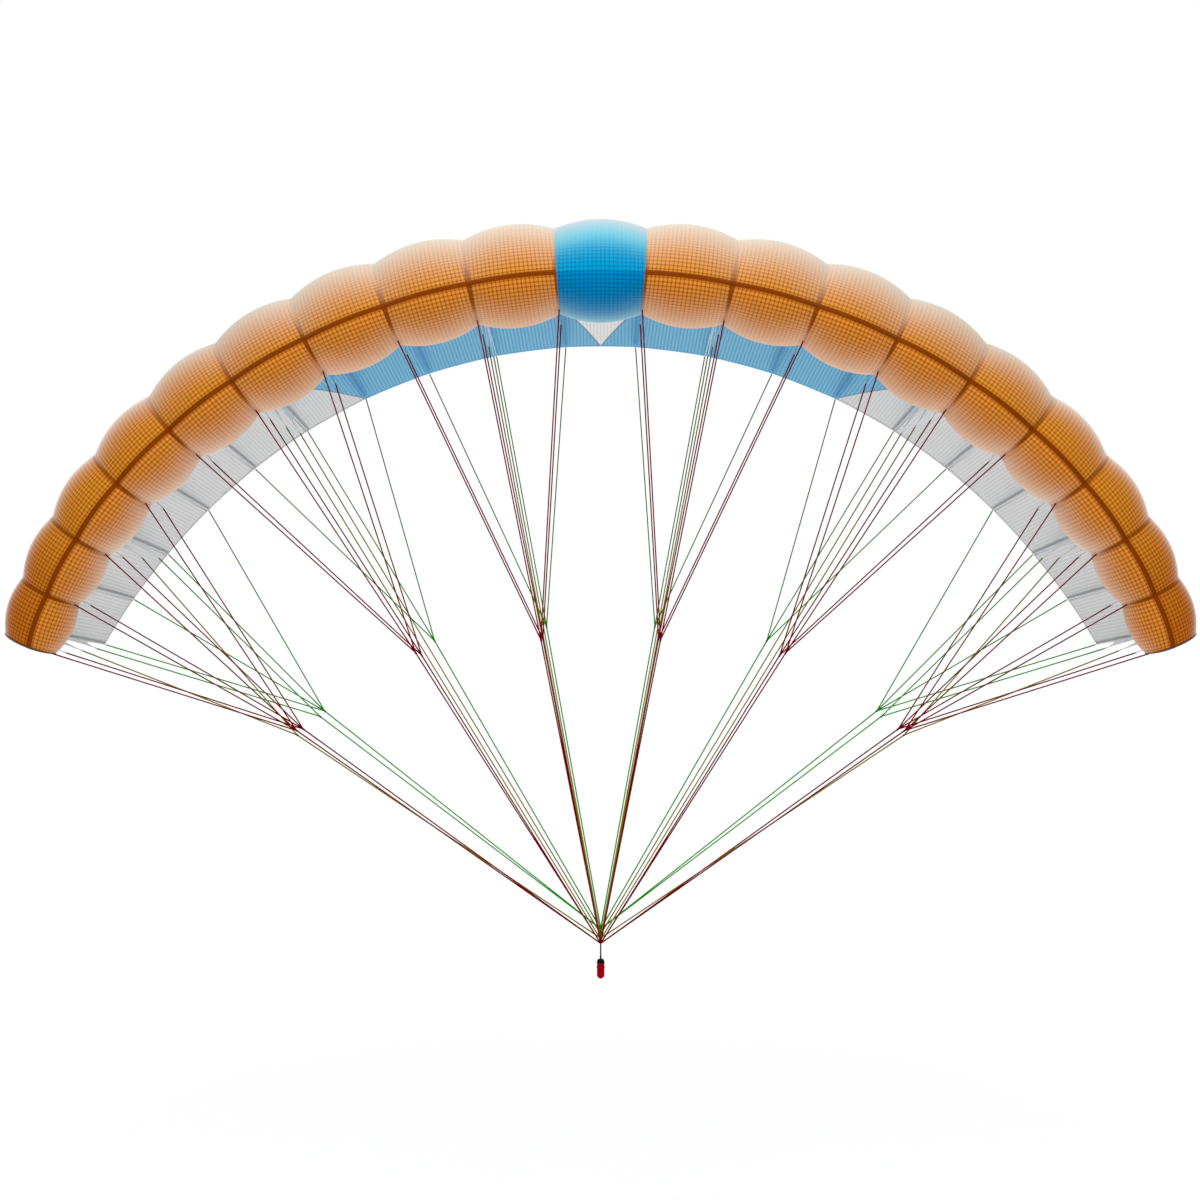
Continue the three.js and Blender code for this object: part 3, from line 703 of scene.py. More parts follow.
def nose_finish(name, strength):
    finish = Finish(name)
    weave = finish.marks("weave")
    station = finish.marks("lay")[0]
    grid, _, height = place_group(ripstop, Weave=weave[3])
    along, out, centre = weave[1], abs(station), in_centre(station)
    # Painted shade of the ribs and the tape, in bands that narrow towards row A.
    rib_half = along.rise(ROW_A_ALONG, 0.0, NOSE_BAND_END, RIB_BAND_HALF)
    orange = grid.blend(*NOSE_ORANGE)
    orange = seam_shade_bands(orange, weave, rib_half, rib_strength=0.85, tape_half=NOSE_TAPE)
    colour = centre.blend(orange, grid.blend(*NOSE_BLUE))
    colour = add_stitches(colour, weave[2], along, SEAM_AND_SHADE_BROWN, RIB_STITCHES, strength=0.6)
    orange_shine = out.rise(*NOSE_SHINE_CELLS).blend(NOSE_SHINE, OUTER_NOSE_SHINE)
    shine = centre.blend(orange_shine, NOSE_BLUE_SHINE)
    power = centre.choose(NOSE_BLUE_POWER, out.rise(*NOSE_POWER_CELLS, *NOSE_POWERS))
    amount = centre.choose(NOSE_BLUE_AMOUNT * strength, NOSE_SHINE_AMOUNT * strength)
    on_seam = centre.choose(1.0, along.rise(*NOSE_SEAM_ALONG, *NOSE_SEAM_SHINE))
    on_tape = centre.choose(1.0, NOSE_TAPE_SHINE)
    colour = add_shine(finish, colour, shine, power, amount, weave, on_seam, on_tape)
    return finish.done(colour, CLOTH_ROUGHNESS, height, THREAD_RELIEF, bumps=0.4)


def top_finish():
    """Orange, darkened towards the tips by painted shade where they get less light, with the blue centre
    cell, and the colour blocks behind.
    """
    finish = Finish("canopy_top")
    weave = finish.marks("weave")
    station, share, _, _ = finish.marks("lay")
    grid, _, height = place_group(ripstop, Weave=weave[3])
    along, out, centre = weave[1], abs(station), in_centre(station)
    # Painted shade: the top orange darkens towards the tips, which face away from the light above.
    tip_shade = out.rise(*SHADED_TIP_CELLS)
    orange = grid.blend(*(tip_shade.blend(*pair) for pair in zip(TOP_ORANGE, SHADED_TIP_ORANGE)))
    # Painted shade of the ribs and the tape, in bands that narrow and fade over the crest.
    rib_half = along.rise(0.0, CREST_ALONG, RIB_BAND_HALF, CREST_BAND_HALF)
    crest_strength = out.rise(*TOP_SEAM_CELLS, 0.0, CREST_BAND_STRENGTH)
    rib_strength = along.rise(*TOP_BAND_ALONG, TOP_BAND_STRENGTH, crest_strength)
    orange = seam_shade_bands(orange, weave, rib_half, rib_strength, TOP_TAPE)
    paling = finish.turned_away().rise(*PALING_TURN, 0.0, PALING)
    blue = paling.blend(grid.blend(*TOP_BLUE), TOP_BLUE_PALE)
    blocks, _ = block_colours(station, share, grid, TOP_BLUE, thread_share=0.8)
    from_nose = (share - NOSE_END) * ROOT_CHORD
    behind = past(from_nose)
    colour = behind.blend(centre.blend(orange, blue), blocks)
    line = band_mask(from_nose, EDGE_HALF, EDGE_SOFTNESS, strength=0.5)
    colour = line.blend(colour, SEAM_AND_SHADE_BROWN)
    thread = behind.blend(SEAM_AND_SHADE_BROWN, EDGE_SLATE)
    colour = add_stitches(colour, weave[2], along, thread, RIB_STITCHES, strength=0.3)
    orange_shine = out.rise(*TOP_SHINE_CELLS).blend(TOP_SHINE, TIP_SHINE)
    shine = behind.blend(centre.blend(orange_shine, TOP_BLUE_SHINE), BLOCK_SHINE)
    power = centre.choose(TOP_BLUE_POWER, out.rise(*TOP_POWER_CELLS, *TOP_POWERS))
    power = behind.choose(BLOCK_POWER, power)
    outer_seam = along.rise(*TOP_SEAM_ALONG, *TOP_SEAM_SHINE)
    on_seam = out.rise(*TOP_SEAM_CELLS, 1.0, outer_seam)
    on_tape = centre.choose(1.0, TOP_TAPE_SHINE)
    colour = add_shine(finish, colour, shine, power, 1.0, weave, on_seam, on_tape)
    return finish.done(colour, CLOTH_ROUGHNESS, height, THREAD_RELIEF, bumps=0.4)


def underside_finish():
    finish = Finish("canopy_underside", gloss=0.1, sheen=0.1)
    across, along, to_rib, vector = finish.marks("weave")
    station, share, _, _ = finish.marks("lay")
    _, stripes, height = place_group(ripstop, Weave=vector)
    colour, in_grey = block_colours(station, share, stripes, UNDER_BLUE, thread_share=0.9)
    # The bands along the ribs are partly seam and partly painted shade where the ribs meet the cloth.
    # The band at the tail is its hem.
    seam_and_shade_colour = in_grey.blend(UNDER_BLUE_SEAM_SHADE, GREY_SEAM_SHADE)
    to_tail = (1 - share) * ROOT_CHORD
    colour = band_mask(to_rib, half_width=0.010, strength=0.85).blend(colour, seam_and_shade_colour)
    colour = band_mask(to_tail, half_width=0.008, strength=0.55).blend(colour, seam_and_shade_colour)
    colour = add_stitches(colour, to_rib, along, EDGE_SLATE, offset=0.008, strength=0.25)
    colour = add_stitches(colour, to_tail, across, EDGE_SLATE, offset=0.0065, strength=0.4)
    colour = share.rise(*INSIDE_NOSE_END).blend(NOSE_ORANGE[0], colour)
    return finish.done(colour, CLOTH_ROUGHNESS, height, THREAD_RELIEF, bumps=0.3)


nose_outside = nose_finish("nose_outside", 1.0)
nose_inside = nose_finish("nose_inside", INSIDE_SHINE)
canopy_top = top_finish()
canopy_underside = underside_finish()
print("cloth finishes:", nose_outside.name, nose_inside.name, canopy_top.name, canopy_underside.name)

# %% [markdown]
# ## Lines: where they run
# Each rib hangs from a row of lines: row A at the seam under its nose, and the rows behind it at its
# teeth and its tail. The same row of neighbouring ribs is gathered on one knot about half way down,
# and from there one line goes on to the bar. The middle rows are tied to the rear leader instead, C
# below D. Taut lines are straight, so two points are enough for each. The rows below name which ribs
# share a knot, how far up it lies, how far it leans towards the tail, and how much harder the inner
# ribs of the row pull it than the outer ones.

# %% Teeth and gathers
ROW_A_BACK = 0.096
TEETH = {"B": (0.265, 0.081), "C": (0.51, 0.075), "D": (0.745, 0.068)}
TAIL_TAB_BACK = 0.985
TAIL_TAB_DEPTH = 0.014
FIVE_LINE_RIBS = (2, 5, 8, 10)
PIECE_GAP = 0.0003
BAR_LENGTH = 0.32
BAR_TILT = math.radians(5)
GRIP_LENGTH = 0.19
ROD_LENGTH = BAR_LENGTH - GRIP_LENGTH
ROD_RADIUS = 0.0112
LOOP_CORD_RADIUS = 0.0009
LOOP_RADIUS = ROD_RADIUS + PIECE_GAP + LOOP_CORD_RADIUS
FRONT_LOOP_FROM_REAR = ROD_LENGTH - 0.004
REAR_LOOP_FROM_REAR = 0.010
FRONT_GATHER = np.array([0, 0.022, 0.077])
REAR_GATHER = np.array([0, 0.185, 0.092])
MID_TIE_SHARES = {"C": 0.715, "D": 0.9}
BAR_AXIS = np.array([0, -math.cos(BAR_TILT), math.sin(BAR_TILT)])
BAR_RISE = np.array([0, math.sin(BAR_TILT), math.cos(BAR_TILT)])


def bar_point(from_rear):
    return BAR_AXIS * (from_rear - BAR_LENGTH / 2)


def leader_foot(from_rear):
    return bar_point(from_rear) + BAR_RISE * LOOP_RADIUS


def top_height(rib, back_share):
    """Height of the top cloth over the chord, as a share of it."""
    nose = rib.crest * np.sqrt(np.maximum(1 - ((CREST_BACK - back_share) / CREST_BACK) ** 2, 0))
    rear = rear_height(rib, (back_share - CREST_BACK) / (1 - CREST_BACK))
    return np.where(back_share < CREST_BACK, nose, rear)


def teeth_of(rib):
    return ["B", "C", "D", "tail"] if rib.number in FIVE_LINE_RIBS else ["B", "tail"]


def tooth_tip(rib, tooth):
    """Back and up, in metres, of the point where a line leaves a rib."""
    if tooth == "A":
        ahead = 1 - ROW_A_BACK / UNDER_NOSE_BACK
        return ROW_A_BACK * rib.chord, -UNDER_NOSE_DROP * math.sqrt(1 - ahead**2) * rib.chord
    if tooth == "tail":
        up = float(top_height(rib, np.array(TAIL_TAB_BACK))) * rib.chord - TAIL_TAB_DEPTH
        return TAIL_TAB_BACK * rib.chord, up
    back, drop = TEETH[tooth]
    return back * rib.chord, -drop * rib.chord


def tab_point(rib, tooth):
    return rib_point(rib, *tooth_tip(rib, tooth))


def tie_point(share):
    """A place on the rear leader, at a share of the way from its foot to its gather."""
    return leader_foot(REAR_LOOP_FROM_REAR) * (1 - share) + REAR_GATHER * share


MID_TIES = {tooth: tie_point(share) for tooth, share in MID_TIE_SHARES.items()}


def gather_of(family, tooth):
    if family == "mid":
        return MID_TIES[tooth]
    return FRONT_GATHER if family == "front" else REAR_GATHER


INNER, MIDDLE, OUTER = (1, 2, 3), (4, 5, 6), (7, 8, 9, 10)
CASCADES = [
    ("front", "A", INNER, 0.504, 0, 0.01),
    ("front", "B", INNER, 0.507, 0, 0.04),
    ("front", "A", MIDDLE, 0.558, 0, 0.07),
    ("front", "B", MIDDLE, 0.554, 0, 0.065),
    ("front", "A", OUTER, 0.605, 0, -0.16),
    ("front", "B", OUTER, 0.605, 0, -0.16),
    ("mid", "C", (8, 10), 0.618, 0, -0.12),
    ("rear", "D", (8, 10), 0.603, 0.68, 0.35),
    ("rear", "tail", INNER, 0.504, 0, 0.03),
    ("rear", "tail", MIDDLE, 0.553, 0, 0.1),
    ("rear", "tail", OUTER, 0.602, 0, -0.01),
]
SINGLES = [("mid", "C", 2), ("mid", "D", 2), ("mid", "C", 5), ("mid", "D", 5)]
print("front gather", FRONT_GATHER, "rear gather", REAR_GATHER, "ties", MID_TIES)

# %% [markdown]
# ## Braided cord
# Line and leader are braided: two sets of strands cross in a fine diagonal. The pattern is a product
# of two slanted waves over the cord's own length and girth, built once and shared by all cords.

# %% Cord finishes
CORD_LAY = 0.004
CORD_STRANDS = 4.0
STRAND_EDGE = 0.6
CORD_RELIEF = 0.0002
CORD_ROUGHNESS = (0.75, 0.55)


def braid_recipe(run, lay, strands):
    along, around, _ = run.apart()
    along, around = along / lay, around * strands
    waves = [(slant * TURN).math("SINE") for slant in (along + around, along - around)]
    weave = waves[0] * waves[1]
    return weave * 0.5 + 0.5, weave.rise(-STRAND_EDGE, STRAND_EDGE)


braid_inputs = {"Run": None, "Lay": CORD_LAY, "Strands": CORD_STRANDS}
braid = new_group("braid", ["Height", "Tone"], braid_recipe, **braid_inputs)


def cord_finish(name, light, dark):
    finish = Finish(name)
    height, tone = place_group(braid, Run=finish.marks("run")[3])
    roughness = tone.rise(0.0, 1.0, *CORD_ROUGHNESS)
    return finish.done(tone.blend(dark, light), roughness, height, CORD_RELIEF, bumps=0.4)


CORDS = {
    "front": cord_finish("red_line", paint(112, 2, 20), paint(98, 0, 12)),
    "mid": cord_finish("olive_line", paint(122, 120, 0), paint(106, 102, 0)),
    "rear": cord_finish("green_line", paint(32, 154, 8), paint(20, 138, 2)),
}
KNOTS = {
    "front": cord_finish("red_knot", paint(84, 2, 14), paint(70, 0, 8)),
    "mid": cord_finish("olive_winding", paint(88, 70, 14), paint(72, 56, 8)),
    "rear": cord_finish("green_knot", paint(28, 108, 34), paint(18, 92, 24)),
}
leader_cord = cord_finish("leader_cord", paint(34, 34, 38), paint(20, 20, 24))

# %% [markdown]
# ## Tubes
# A line, a loop and a knot are all round cord laid along a path. One function sweeps a ring of points
# along it and carries the ring's direction forward, so that the tube doesn't twist. Blender's curve
# bevel does the same, but a mesh keeps the run and girth marks that the braid needs.

# %% Tube helper
THIN_CORD_SIDES = 8
MOSTLY_ASIDE = 0.7


def tube(path, radii, sides=THIN_CORD_SIDES, is_loop=False):
    """A round cord along a path, closed at its ends or joined into a loop, with its run marks."""
    path = np.asarray(path, float)
    radii = np.broadcast_to(np.asarray(radii, float), (len(path),))
    steps = np.roll(path, -1, 0) - np.roll(path, 1, 0) if is_loop else np.gradient(path, axis=0)
    ahead = unit(steps)
    aside = np.cross(ahead[0], (1, 0, 0) if abs(ahead[0][0]) < MOSTLY_ASIDE else (0, 0, 1))
    angle = np.arange(sides) * TURN / sides
    rings = []
    for pointing in ahead:
        aside = unit(aside - pointing * aside.dot(pointing))
        rings.append(np.outer(np.cos(angle), aside) + np.outer(np.sin(angle), np.cross(pointing, aside)))
    points = path[:, None] + np.array(rings) * radii[:, None, None]
    run = np.stack(np.broadcast_arrays(walked(path, 0)[:, None], angle / TURN, 0.0), -1)
    if is_loop:
        return ring_part(points, run)
    return ring_part(points, run, path[[0, -1]], run[[0, -1], [0, -1]])


print("tube helper ready")

# %% [markdown]
# ## Flying lines and their knots
# A line's ends are folded back and sewn into themselves, so its last few centimetres are thicker.
# On a cascade knot the lines are wrapped round each other, which a tube with ribbed radii shows.
# Wound cord shades itself, so knots wear a darker finish than their lines.

# %% Flying lines
UPPER_LINE_RADIUS = 0.0021
LOWER_LINE_RADIUS = 0.0022
LINE_SIDES = 12
SEWN_END = 0.055
SEWN_TAPER_END = 1.3 * SEWN_END
SEWN_SWELL = 1.06
KNOT_LENGTH = 0.014
KNOT_RADIUS = 0.0034
KNOT_SIDES = 10
KNOT_WRAPS = 4
STEPS_PER_WRAP = 6
WRAP_DEPTH = 0.16
KNOT_END_POWER = 6
KNOT_END_SHARE = 0.12
LINE_GAP = 0.00115
ROW_A_GAP = 0.003
LEADER_RADIUS = 0.0023
GATHER_KNOT_RADIUS = 0.004
OVERHAND_STEPS = 72
STEPS_PER_TURN = 24
WINDING_CORD = 0.0015
FRONT_KNOT_CORD = 0.0013
REAR_KNOT_CORD = 0.0014
MID_SLEEVE_OUTER = 0.006
MID_SLEEVE_END = 0.003


def direction(start, end):
    return unit(end - start)


def distance(start, end):
    return float(np.linalg.norm(end - start))


REAR_LEADER_AXIS = direction(leader_foot(REAR_LOOP_FROM_REAR), REAR_GATHER)


def sewn_line(start, end, radius):
    """A taut line with thicker, sewn ends."""
    stops = np.array([0, SEWN_END, SEWN_TAPER_END]) / distance(start, end)
    run = np.concatenate([stops, 1 - stops[::-1]])
    swell = np.array([SEWN_SWELL, SEWN_SWELL, 1, 1, SEWN_SWELL, SEWN_SWELL])
    return tube(start + np.outer(run, end - start), radius * swell, LINE_SIDES)


def as_knot(part):
    """Part of a line that wears the darker finish of its family's knots."""
    points, faces, kinds, marks = part
    return points, faces, kinds + 1, marks


def wrapped_knot(place, along):
    steps = np.linspace(-0.5, 0.5, KNOT_WRAPS * STEPS_PER_WRAP + 1)
    ribbing = 1 - WRAP_DEPTH + WRAP_DEPTH * np.abs(np.sin((steps + 0.5) * math.pi * KNOT_WRAPS))
    ends = np.sqrt(np.maximum(1 - (2 * np.abs(steps)) ** KNOT_END_POWER, KNOT_END_SHARE))
    path = place + np.outer(steps * KNOT_LENGTH, along)
    return as_knot(tube(path, KNOT_RADIUS * ribbing * ends, KNOT_SIDES))


def line_start(family, tooth, towards):
    """Lines start in their gather, and those of the middle family at the rim of its winding."""
    gather = gather_of(family, tooth)
    if family != "mid":
        return gather
    aside = towards - gather
    aside = aside - REAR_LEADER_AXIS * aside.dot(REAR_LEADER_AXIS)
    return gather + unit(aside) * (MID_SLEEVE_OUTER - LOWER_LINE_RADIUS / 2)


line_lengths = {"front": [], "mid": [], "rear": []}


def upper_line(rib, family, tooth, start):
    tab = tab_point(rib, tooth)
    line_lengths[family].append(distance(start, tab))
    gap = ROW_A_GAP if tooth == "A" else LINE_GAP
    return sewn_line(start, tab + direction(tab, start) * gap, UPPER_LINE_RADIUS)


def cascade(ribs, family, tooth, numbers, reach, lean, inward):
    members = [ribs[number - 1] for number in numbers]
    pulls = 1 + inward * np.linspace(1, -1, len(members))
    aim = np.average([tab_point(rib, tooth) for rib in members], axis=0, weights=pulls)
    tails = np.average([tab_point(rib, "tail") for rib in members], axis=0, weights=pulls)
    aim = aim * (1 - lean) + tails * lean
    knot = gather_of(family, tooth) * (1 - reach) + aim * reach
    start = line_start(family, tooth, knot)
    line_lengths[family].append(distance(start, knot))
    parts = [sewn_line(start, knot, LOWER_LINE_RADIUS), wrapped_knot(knot, direction(start, knot))]
    return parts + [upper_line(rib, family, tooth, knot) for rib in members]


def overhand_knot(place, cord_radius):
    """A cord tied into itself: the path of a trefoil, drawn tight."""
    t = np.linspace(0, TURN, OVERHAND_STEPS, endpoint=False)
    path = np.stack([np.sin(t) + 2 * np.sin(2 * t), -np.sin(3 * t), np.cos(t) - 2 * np.cos(2 * t)], 1)
    return tube(place + path * (GATHER_KNOT_RADIUS - cord_radius) / 3, cord_radius, is_loop=True)


def winding():
    """Cord wound round the rear leader, as a close helix past both ties."""
    length = distance(MID_TIES["C"], MID_TIES["D"]) + 2 * MID_SLEEVE_END
    turns = round(length / WINDING_CORD / 2)
    aside = direction(REAR_LEADER_AXIS * REAR_LEADER_AXIS[0], np.array([1.0, 0, 0]))
    other = np.cross(REAR_LEADER_AXIS, aside)
    t = np.linspace(0, TURN * turns, STEPS_PER_TURN * turns + 1)
    rise_by = (t / (TURN * turns) - 0.5) * (length - WINDING_CORD * 2)
    ring = np.outer(np.cos(t), aside) + np.outer(np.sin(t), other)
    path = (MID_TIES["C"] + MID_TIES["D"]) / 2 + np.outer(rise_by, REAR_LEADER_AXIS)
    return tube(path + ring * (LEADER_RADIUS + PIECE_GAP + WINDING_CORD), WINDING_CORD)


HEARTS = {
    "front": overhand_knot(FRONT_GATHER, FRONT_KNOT_CORD),
    "mid": winding(),
    "rear": overhand_knot(REAR_GATHER, REAR_KNOT_CORD),
}
for family, heart in HEARTS.items():
    parts = [as_knot(heart)]
    for ribs in (left_ribs, right_ribs):
        for row in CASCADES:
            if row[0] == family:
                parts += cascade(ribs, *row)
        for row_family, tooth, number in SINGLES:
            if row_family == family:
                rib = ribs[number - 1]
                start = line_start(family, tooth, tab_point(rib, tooth))
                parts.append(upper_line(rib, family, tooth, start))
    node = f"lines_{family}"
    finishes = [CORDS[family], KNOTS[family]]
    add_piece(f"{node}_cord", joined(parts), finishes, [node])
    lengths = line_lengths[family]
    print(node, len(lengths), "lines,", round(min(lengths), 3), "to", round(max(lengths), 3), "m")

# %% [markdown]
# ## Leaders
# Two short, thicker cords hold the bar. Each is tied round the rod with two turns of thin cord, has a
# few turns of whipping at its foot, and ends under the knot that gathers its lines.

# %% Leaders
LEADER_SIDES = 12
LOOP_PITCH = 0.0019
LOOP_STEPS = 40
WHIPPING_LENGTH = 0.012
WHIPPING_TURNS = 6
WHIPPING_STEPS = 31
WHIPPING_SWELL = 1.18
WHIPPING_DEPTH = 0.12
WHIPPING_EDGE = 0.0004


def rod_loop(from_rear):
    angle = np.linspace(0, TURN, LOOP_STEPS, endpoint=False)
    ring = np.outer(np.cos(angle), (1, 0, 0)) + np.outer(np.sin(angle), BAR_RISE)
    return tube(bar_point(from_rear) + ring * LOOP_RADIUS, LOOP_CORD_RADIUS, is_loop=True)


def leader(name, from_rear, gather):
    foot = leader_foot(from_rear)
    length = distance(foot, gather) - GATHER_KNOT_RADIUS - PIECE_GAP
    whipping = np.linspace(0, WHIPPING_LENGTH, WHIPPING_STEPS)
    waves = np.abs(np.sin(whipping / WHIPPING_LENGTH * math.pi * WHIPPING_TURNS))
    run = np.concatenate([whipping, [WHIPPING_LENGTH + WHIPPING_EDGE, length]])
    radii = LEADER_RADIUS * np.concatenate([WHIPPING_SWELL + WHIPPING_DEPTH * waves, [1, 1]])
    parts = [tube(foot + np.outer(run, direction(foot, gather)), radii, LEADER_SIDES)]
    parts += [rod_loop(from_rear + aside * LOOP_PITCH / 2) for aside in (-1, 1)]
    add_piece(f"{name}_cord", joined(parts), [leader_cord], [name])
    print(name, round(length, 4), "m long,", round(2 * LEADER_RADIUS * 1000, 1), "mm thick")


leader("leader_front", FRONT_LOOP_FROM_REAR, FRONT_GATHER)
leader("leader_rear", REAR_LOOP_FROM_REAR, REAR_GATHER)

# %% [markdown]
# ## The bar
# The bar is a black rod, and its front part wears a red foam grip with a rounded nose. Both are
# turned: a half profile is spun round the bar's axis. A cylinder with bevels would do as well, but
# the profile also takes the groove in the rod and the cut edge of the foam. The cap that closes the
# rod's rear end has flat sides, so its profile follows a square with rounded corners.

# %% Bar finishes
PORE_SCALE = 900
CLOUD_SCALE = 60
CLOUD_RANGE = (0.3, 0.7)
SCUFF_SCALE = 140
SCUFF_RANGE = (0.45, 0.75)
ROD_WRAP_PITCH = 0.0016
PORE_WALL = 0.35
# A painted highlight on the grip's cut edge: where it fades, how strong it is, and its paler red below.
RIM_HIGHLIGHT_EDGE = (0.0005, 0.003)
RIM_HIGHLIGHT_SHARE = 0.3
FOAM_ROUGHNESS = (0.8, 0.58)
ROD_ROUGHNESS = (0.42, 0.6)
FOAM_REDS = (paint(140, 2, 14), paint(156, 6, 20))
PORE_RED = paint(118, 2, 14)
RIM_HIGHLIGHT_RED = paint(186, 66, 74)
ROD_BLACKS = (paint(18, 18, 20), paint(40, 40, 43))


def foam_finish():
    """Foam with pores, cloudy red, and a painted highlight that makes its cut edge paler."""
    finish = Finish("red_foam")
    pore = finish.places().texture("Voronoi", PORE_SCALE).rise(0.0, PORE_WALL)
    cloud = finish.places().texture("Noise", CLOUD_SCALE).rise(*CLOUD_RANGE)
    # Painted highlight: the cut edge at the rear of the grip is blended towards a paler red.
    rim_highlight = finish.marks("run")[0].rise(*RIM_HIGHLIGHT_EDGE, RIM_HIGHLIGHT_SHARE, 0.0)
    colour = pore.blend(PORE_RED, rim_highlight.blend(cloud.blend(*FOAM_REDS), RIM_HIGHLIGHT_RED))
    return finish.done(colour, pore.rise(0, 1, *FOAM_ROUGHNESS), pore, relief=0.0002, bumps=0.5)


def rod_finish():
    """Black with scuffs, and the fine ridges of its wrapped fibre."""
    finish = Finish("black_rod")
    run, _, _, vector = finish.marks("run")
    scuff = vector.texture("Noise", SCUFF_SCALE).rise(*SCUFF_RANGE)
    wrap = (run * (TURN / ROD_WRAP_PITCH)).math("SINE")
    roughness = scuff.rise(0, 1, *ROD_ROUGHNESS)
    return finish.done(scuff.blend(*ROD_BLACKS), roughness, wrap, relief=0.00005, bumps=0.5)


red_foam, black_rod = foam_finish(), rod_finish()
print("bar finishes:", red_foam.name, black_rod.name)

# %% Bar
BAR_SIDES = 48
GRIP_RADIUS = 0.012
GRIP_NOSE_LENGTH = 0.011
GRIP_BODY_LENGTH = GRIP_LENGTH - GRIP_NOSE_LENGTH - PIECE_GAP
GRIP_SIDE_START = 0.004
GRIP_SIDE_END = GRIP_BODY_LENGTH - 0.002
GRIP_RINGS = 24
GRIP_NOSE_RINGS = 14
FOAM_CUT = ((0.0012, 0), (0.0004, 0.0004), (0, 0.0014))
CAP_HALF = 0.0107
CAP_CORNER = 0.0035
CAP_LENGTH = 0.007
CAP_BEVEL = 0.0006
ROD_SIDE_START = 0.02
ROD_RINGS = 12
GROOVE = ((0, 0.0145), (0.0003, 0.0148), (0.0003, 0.0152), (0, 0.0155))


def turned(half_profile, from_rear, corner=1.0):
    """A solid round the bar's axis from pairs of radius and height, both ends on the axis.

    A corner below 1 makes its outline a square, with corners rounded by that share of the radius.
    """
    radii, heights = np.array(half_profile, float).T
    angle = (np.arange(BAR_SIDES) + 0.5) * TURN / BAR_SIDES
    outline = np.stack([np.cos(angle), np.sin(angle)], 1)
    outline = outline * corner + np.sign(outline) * (1 - corner)
    ring = outline @ np.array([(1, 0, 0), np.cross(BAR_AXIS, (1, 0, 0))])
    centres = bar_point(from_rear) + heights[:, None] * BAR_AXIS
    points = centres[1:-1, None] + radii[1:-1, None, None] * ring
    run = np.stack(np.broadcast_arrays(heights[1:-1, None], angle / TURN, radii[1:-1, None]), -1)
    return ring_part(points, run, centres[[0, -1]], np.outer(heights[[0, -1]], (1, 0, 0)))


def cut_in(radius, steps):
    """Turns pairs of depth under a radius and height into pairs of radius and height."""
    return [(radius - depth, height) for depth, height in steps]


side_heights = np.linspace(GRIP_SIDE_START, GRIP_SIDE_END, GRIP_RINGS)
grip_side = [(GRIP_RADIUS, height) for height in side_heights]
nose_angle = np.linspace(0, math.pi / 2, GRIP_NOSE_RINGS)
nose_heights = GRIP_BODY_LENGTH + GRIP_NOSE_LENGTH * np.sin(nose_angle)
grip_nose = list(zip(GRIP_RADIUS * np.cos(nose_angle[:-1]), nose_heights))
grip_tip = (0, GRIP_BODY_LENGTH + GRIP_NOSE_LENGTH)
grip_profile = [(0, 0), *cut_in(GRIP_RADIUS, FOAM_CUT), *grip_side, *grip_nose, grip_tip]
grip = turned(grip_profile, ROD_LENGTH + PIECE_GAP)
grip_piece = add_piece("grip_foam", grip, [red_foam], ["bar_grip"])

cap_bevels = ((CAP_BEVEL, 0), (0, CAP_BEVEL), (0, CAP_LENGTH - CAP_BEVEL), (CAP_BEVEL, CAP_LENGTH))
cap = turned([(0, 0), *cut_in(CAP_HALF, cap_bevels), (0, CAP_LENGTH)], 0, CAP_CORNER / CAP_HALF)
rod_start = CAP_LENGTH - CAP_BEVEL
rod_side = [(ROD_RADIUS, height) for height in np.linspace(ROD_SIDE_START, ROD_LENGTH, ROD_RINGS)]
rod_profile = [(0, rod_start), (ROD_RADIUS, rod_start), *cut_in(ROD_RADIUS, GROOVE), *rod_side]
rod = turned([*rod_profile, (0, ROD_LENGTH)], 0)
add_piece("rod", joined([rod, cap]), [black_rod], ["bar_rod"])
print("bar:", BAR_LENGTH, "m long, grip", GRIP_LENGTH, "m")

# %% [markdown]
# ## Ribs
# A rib is a flat cut of thin cloth that stands under the top cloth, with a tooth where each line is
# sewn on and an arch cut away between teeth. Both edges are heights over the chord, so the rib is a
# grid of columns between its lower and its upper edge. The grid also gives each point its distance
# from those edges and from the nearest tooth, for the hem and the sewn-on patches. Ribs are pale,
# apart from the two-line ribs under the blue band, which are blue like it.

# %% Rib finish
PATCH_RADIUS = 0.055
PATCH_SOFTNESS = 0.002
RIB_HEM = 0.007
RIB_GRID = 0.5


def rib_finish(name, cloth, hem_colour, patch_colour):
    finish = Finish(name, gloss=0.1, sheen=0.2)
    _, _, to_hem, vector = finish.marks("weave")
    to_skin, to_tooth, along, _ = finish.marks("lay")
    grid, _, height = place_group(ripstop, Weave=vector)
    colour = (grid * RIB_GRID).blend(*cloth)
    for to_edge, half, layer in ((to_tooth, PATCH_RADIUS, patch_colour), (to_hem, RIB_HEM, hem_colour)):
        colour = band_mask(to_edge, half, PATCH_SOFTNESS, strength=0.6).blend(colour, layer)
    colour = add_stitches(colour, to_hem, along, EDGE_SLATE, offset=0.0055, strength=0.15)
    colour = add_stitches(colour, to_skin, along, EDGE_SLATE, offset=0.008, strength=0.2)
    colour = add_stitches(colour, to_tooth, along, EDGE_SLATE, offset=0.052, strength=0.15)
    return finish.done(colour, roughness=0.65, height=height, relief=THREAD_RELIEF, bumps=0.3)


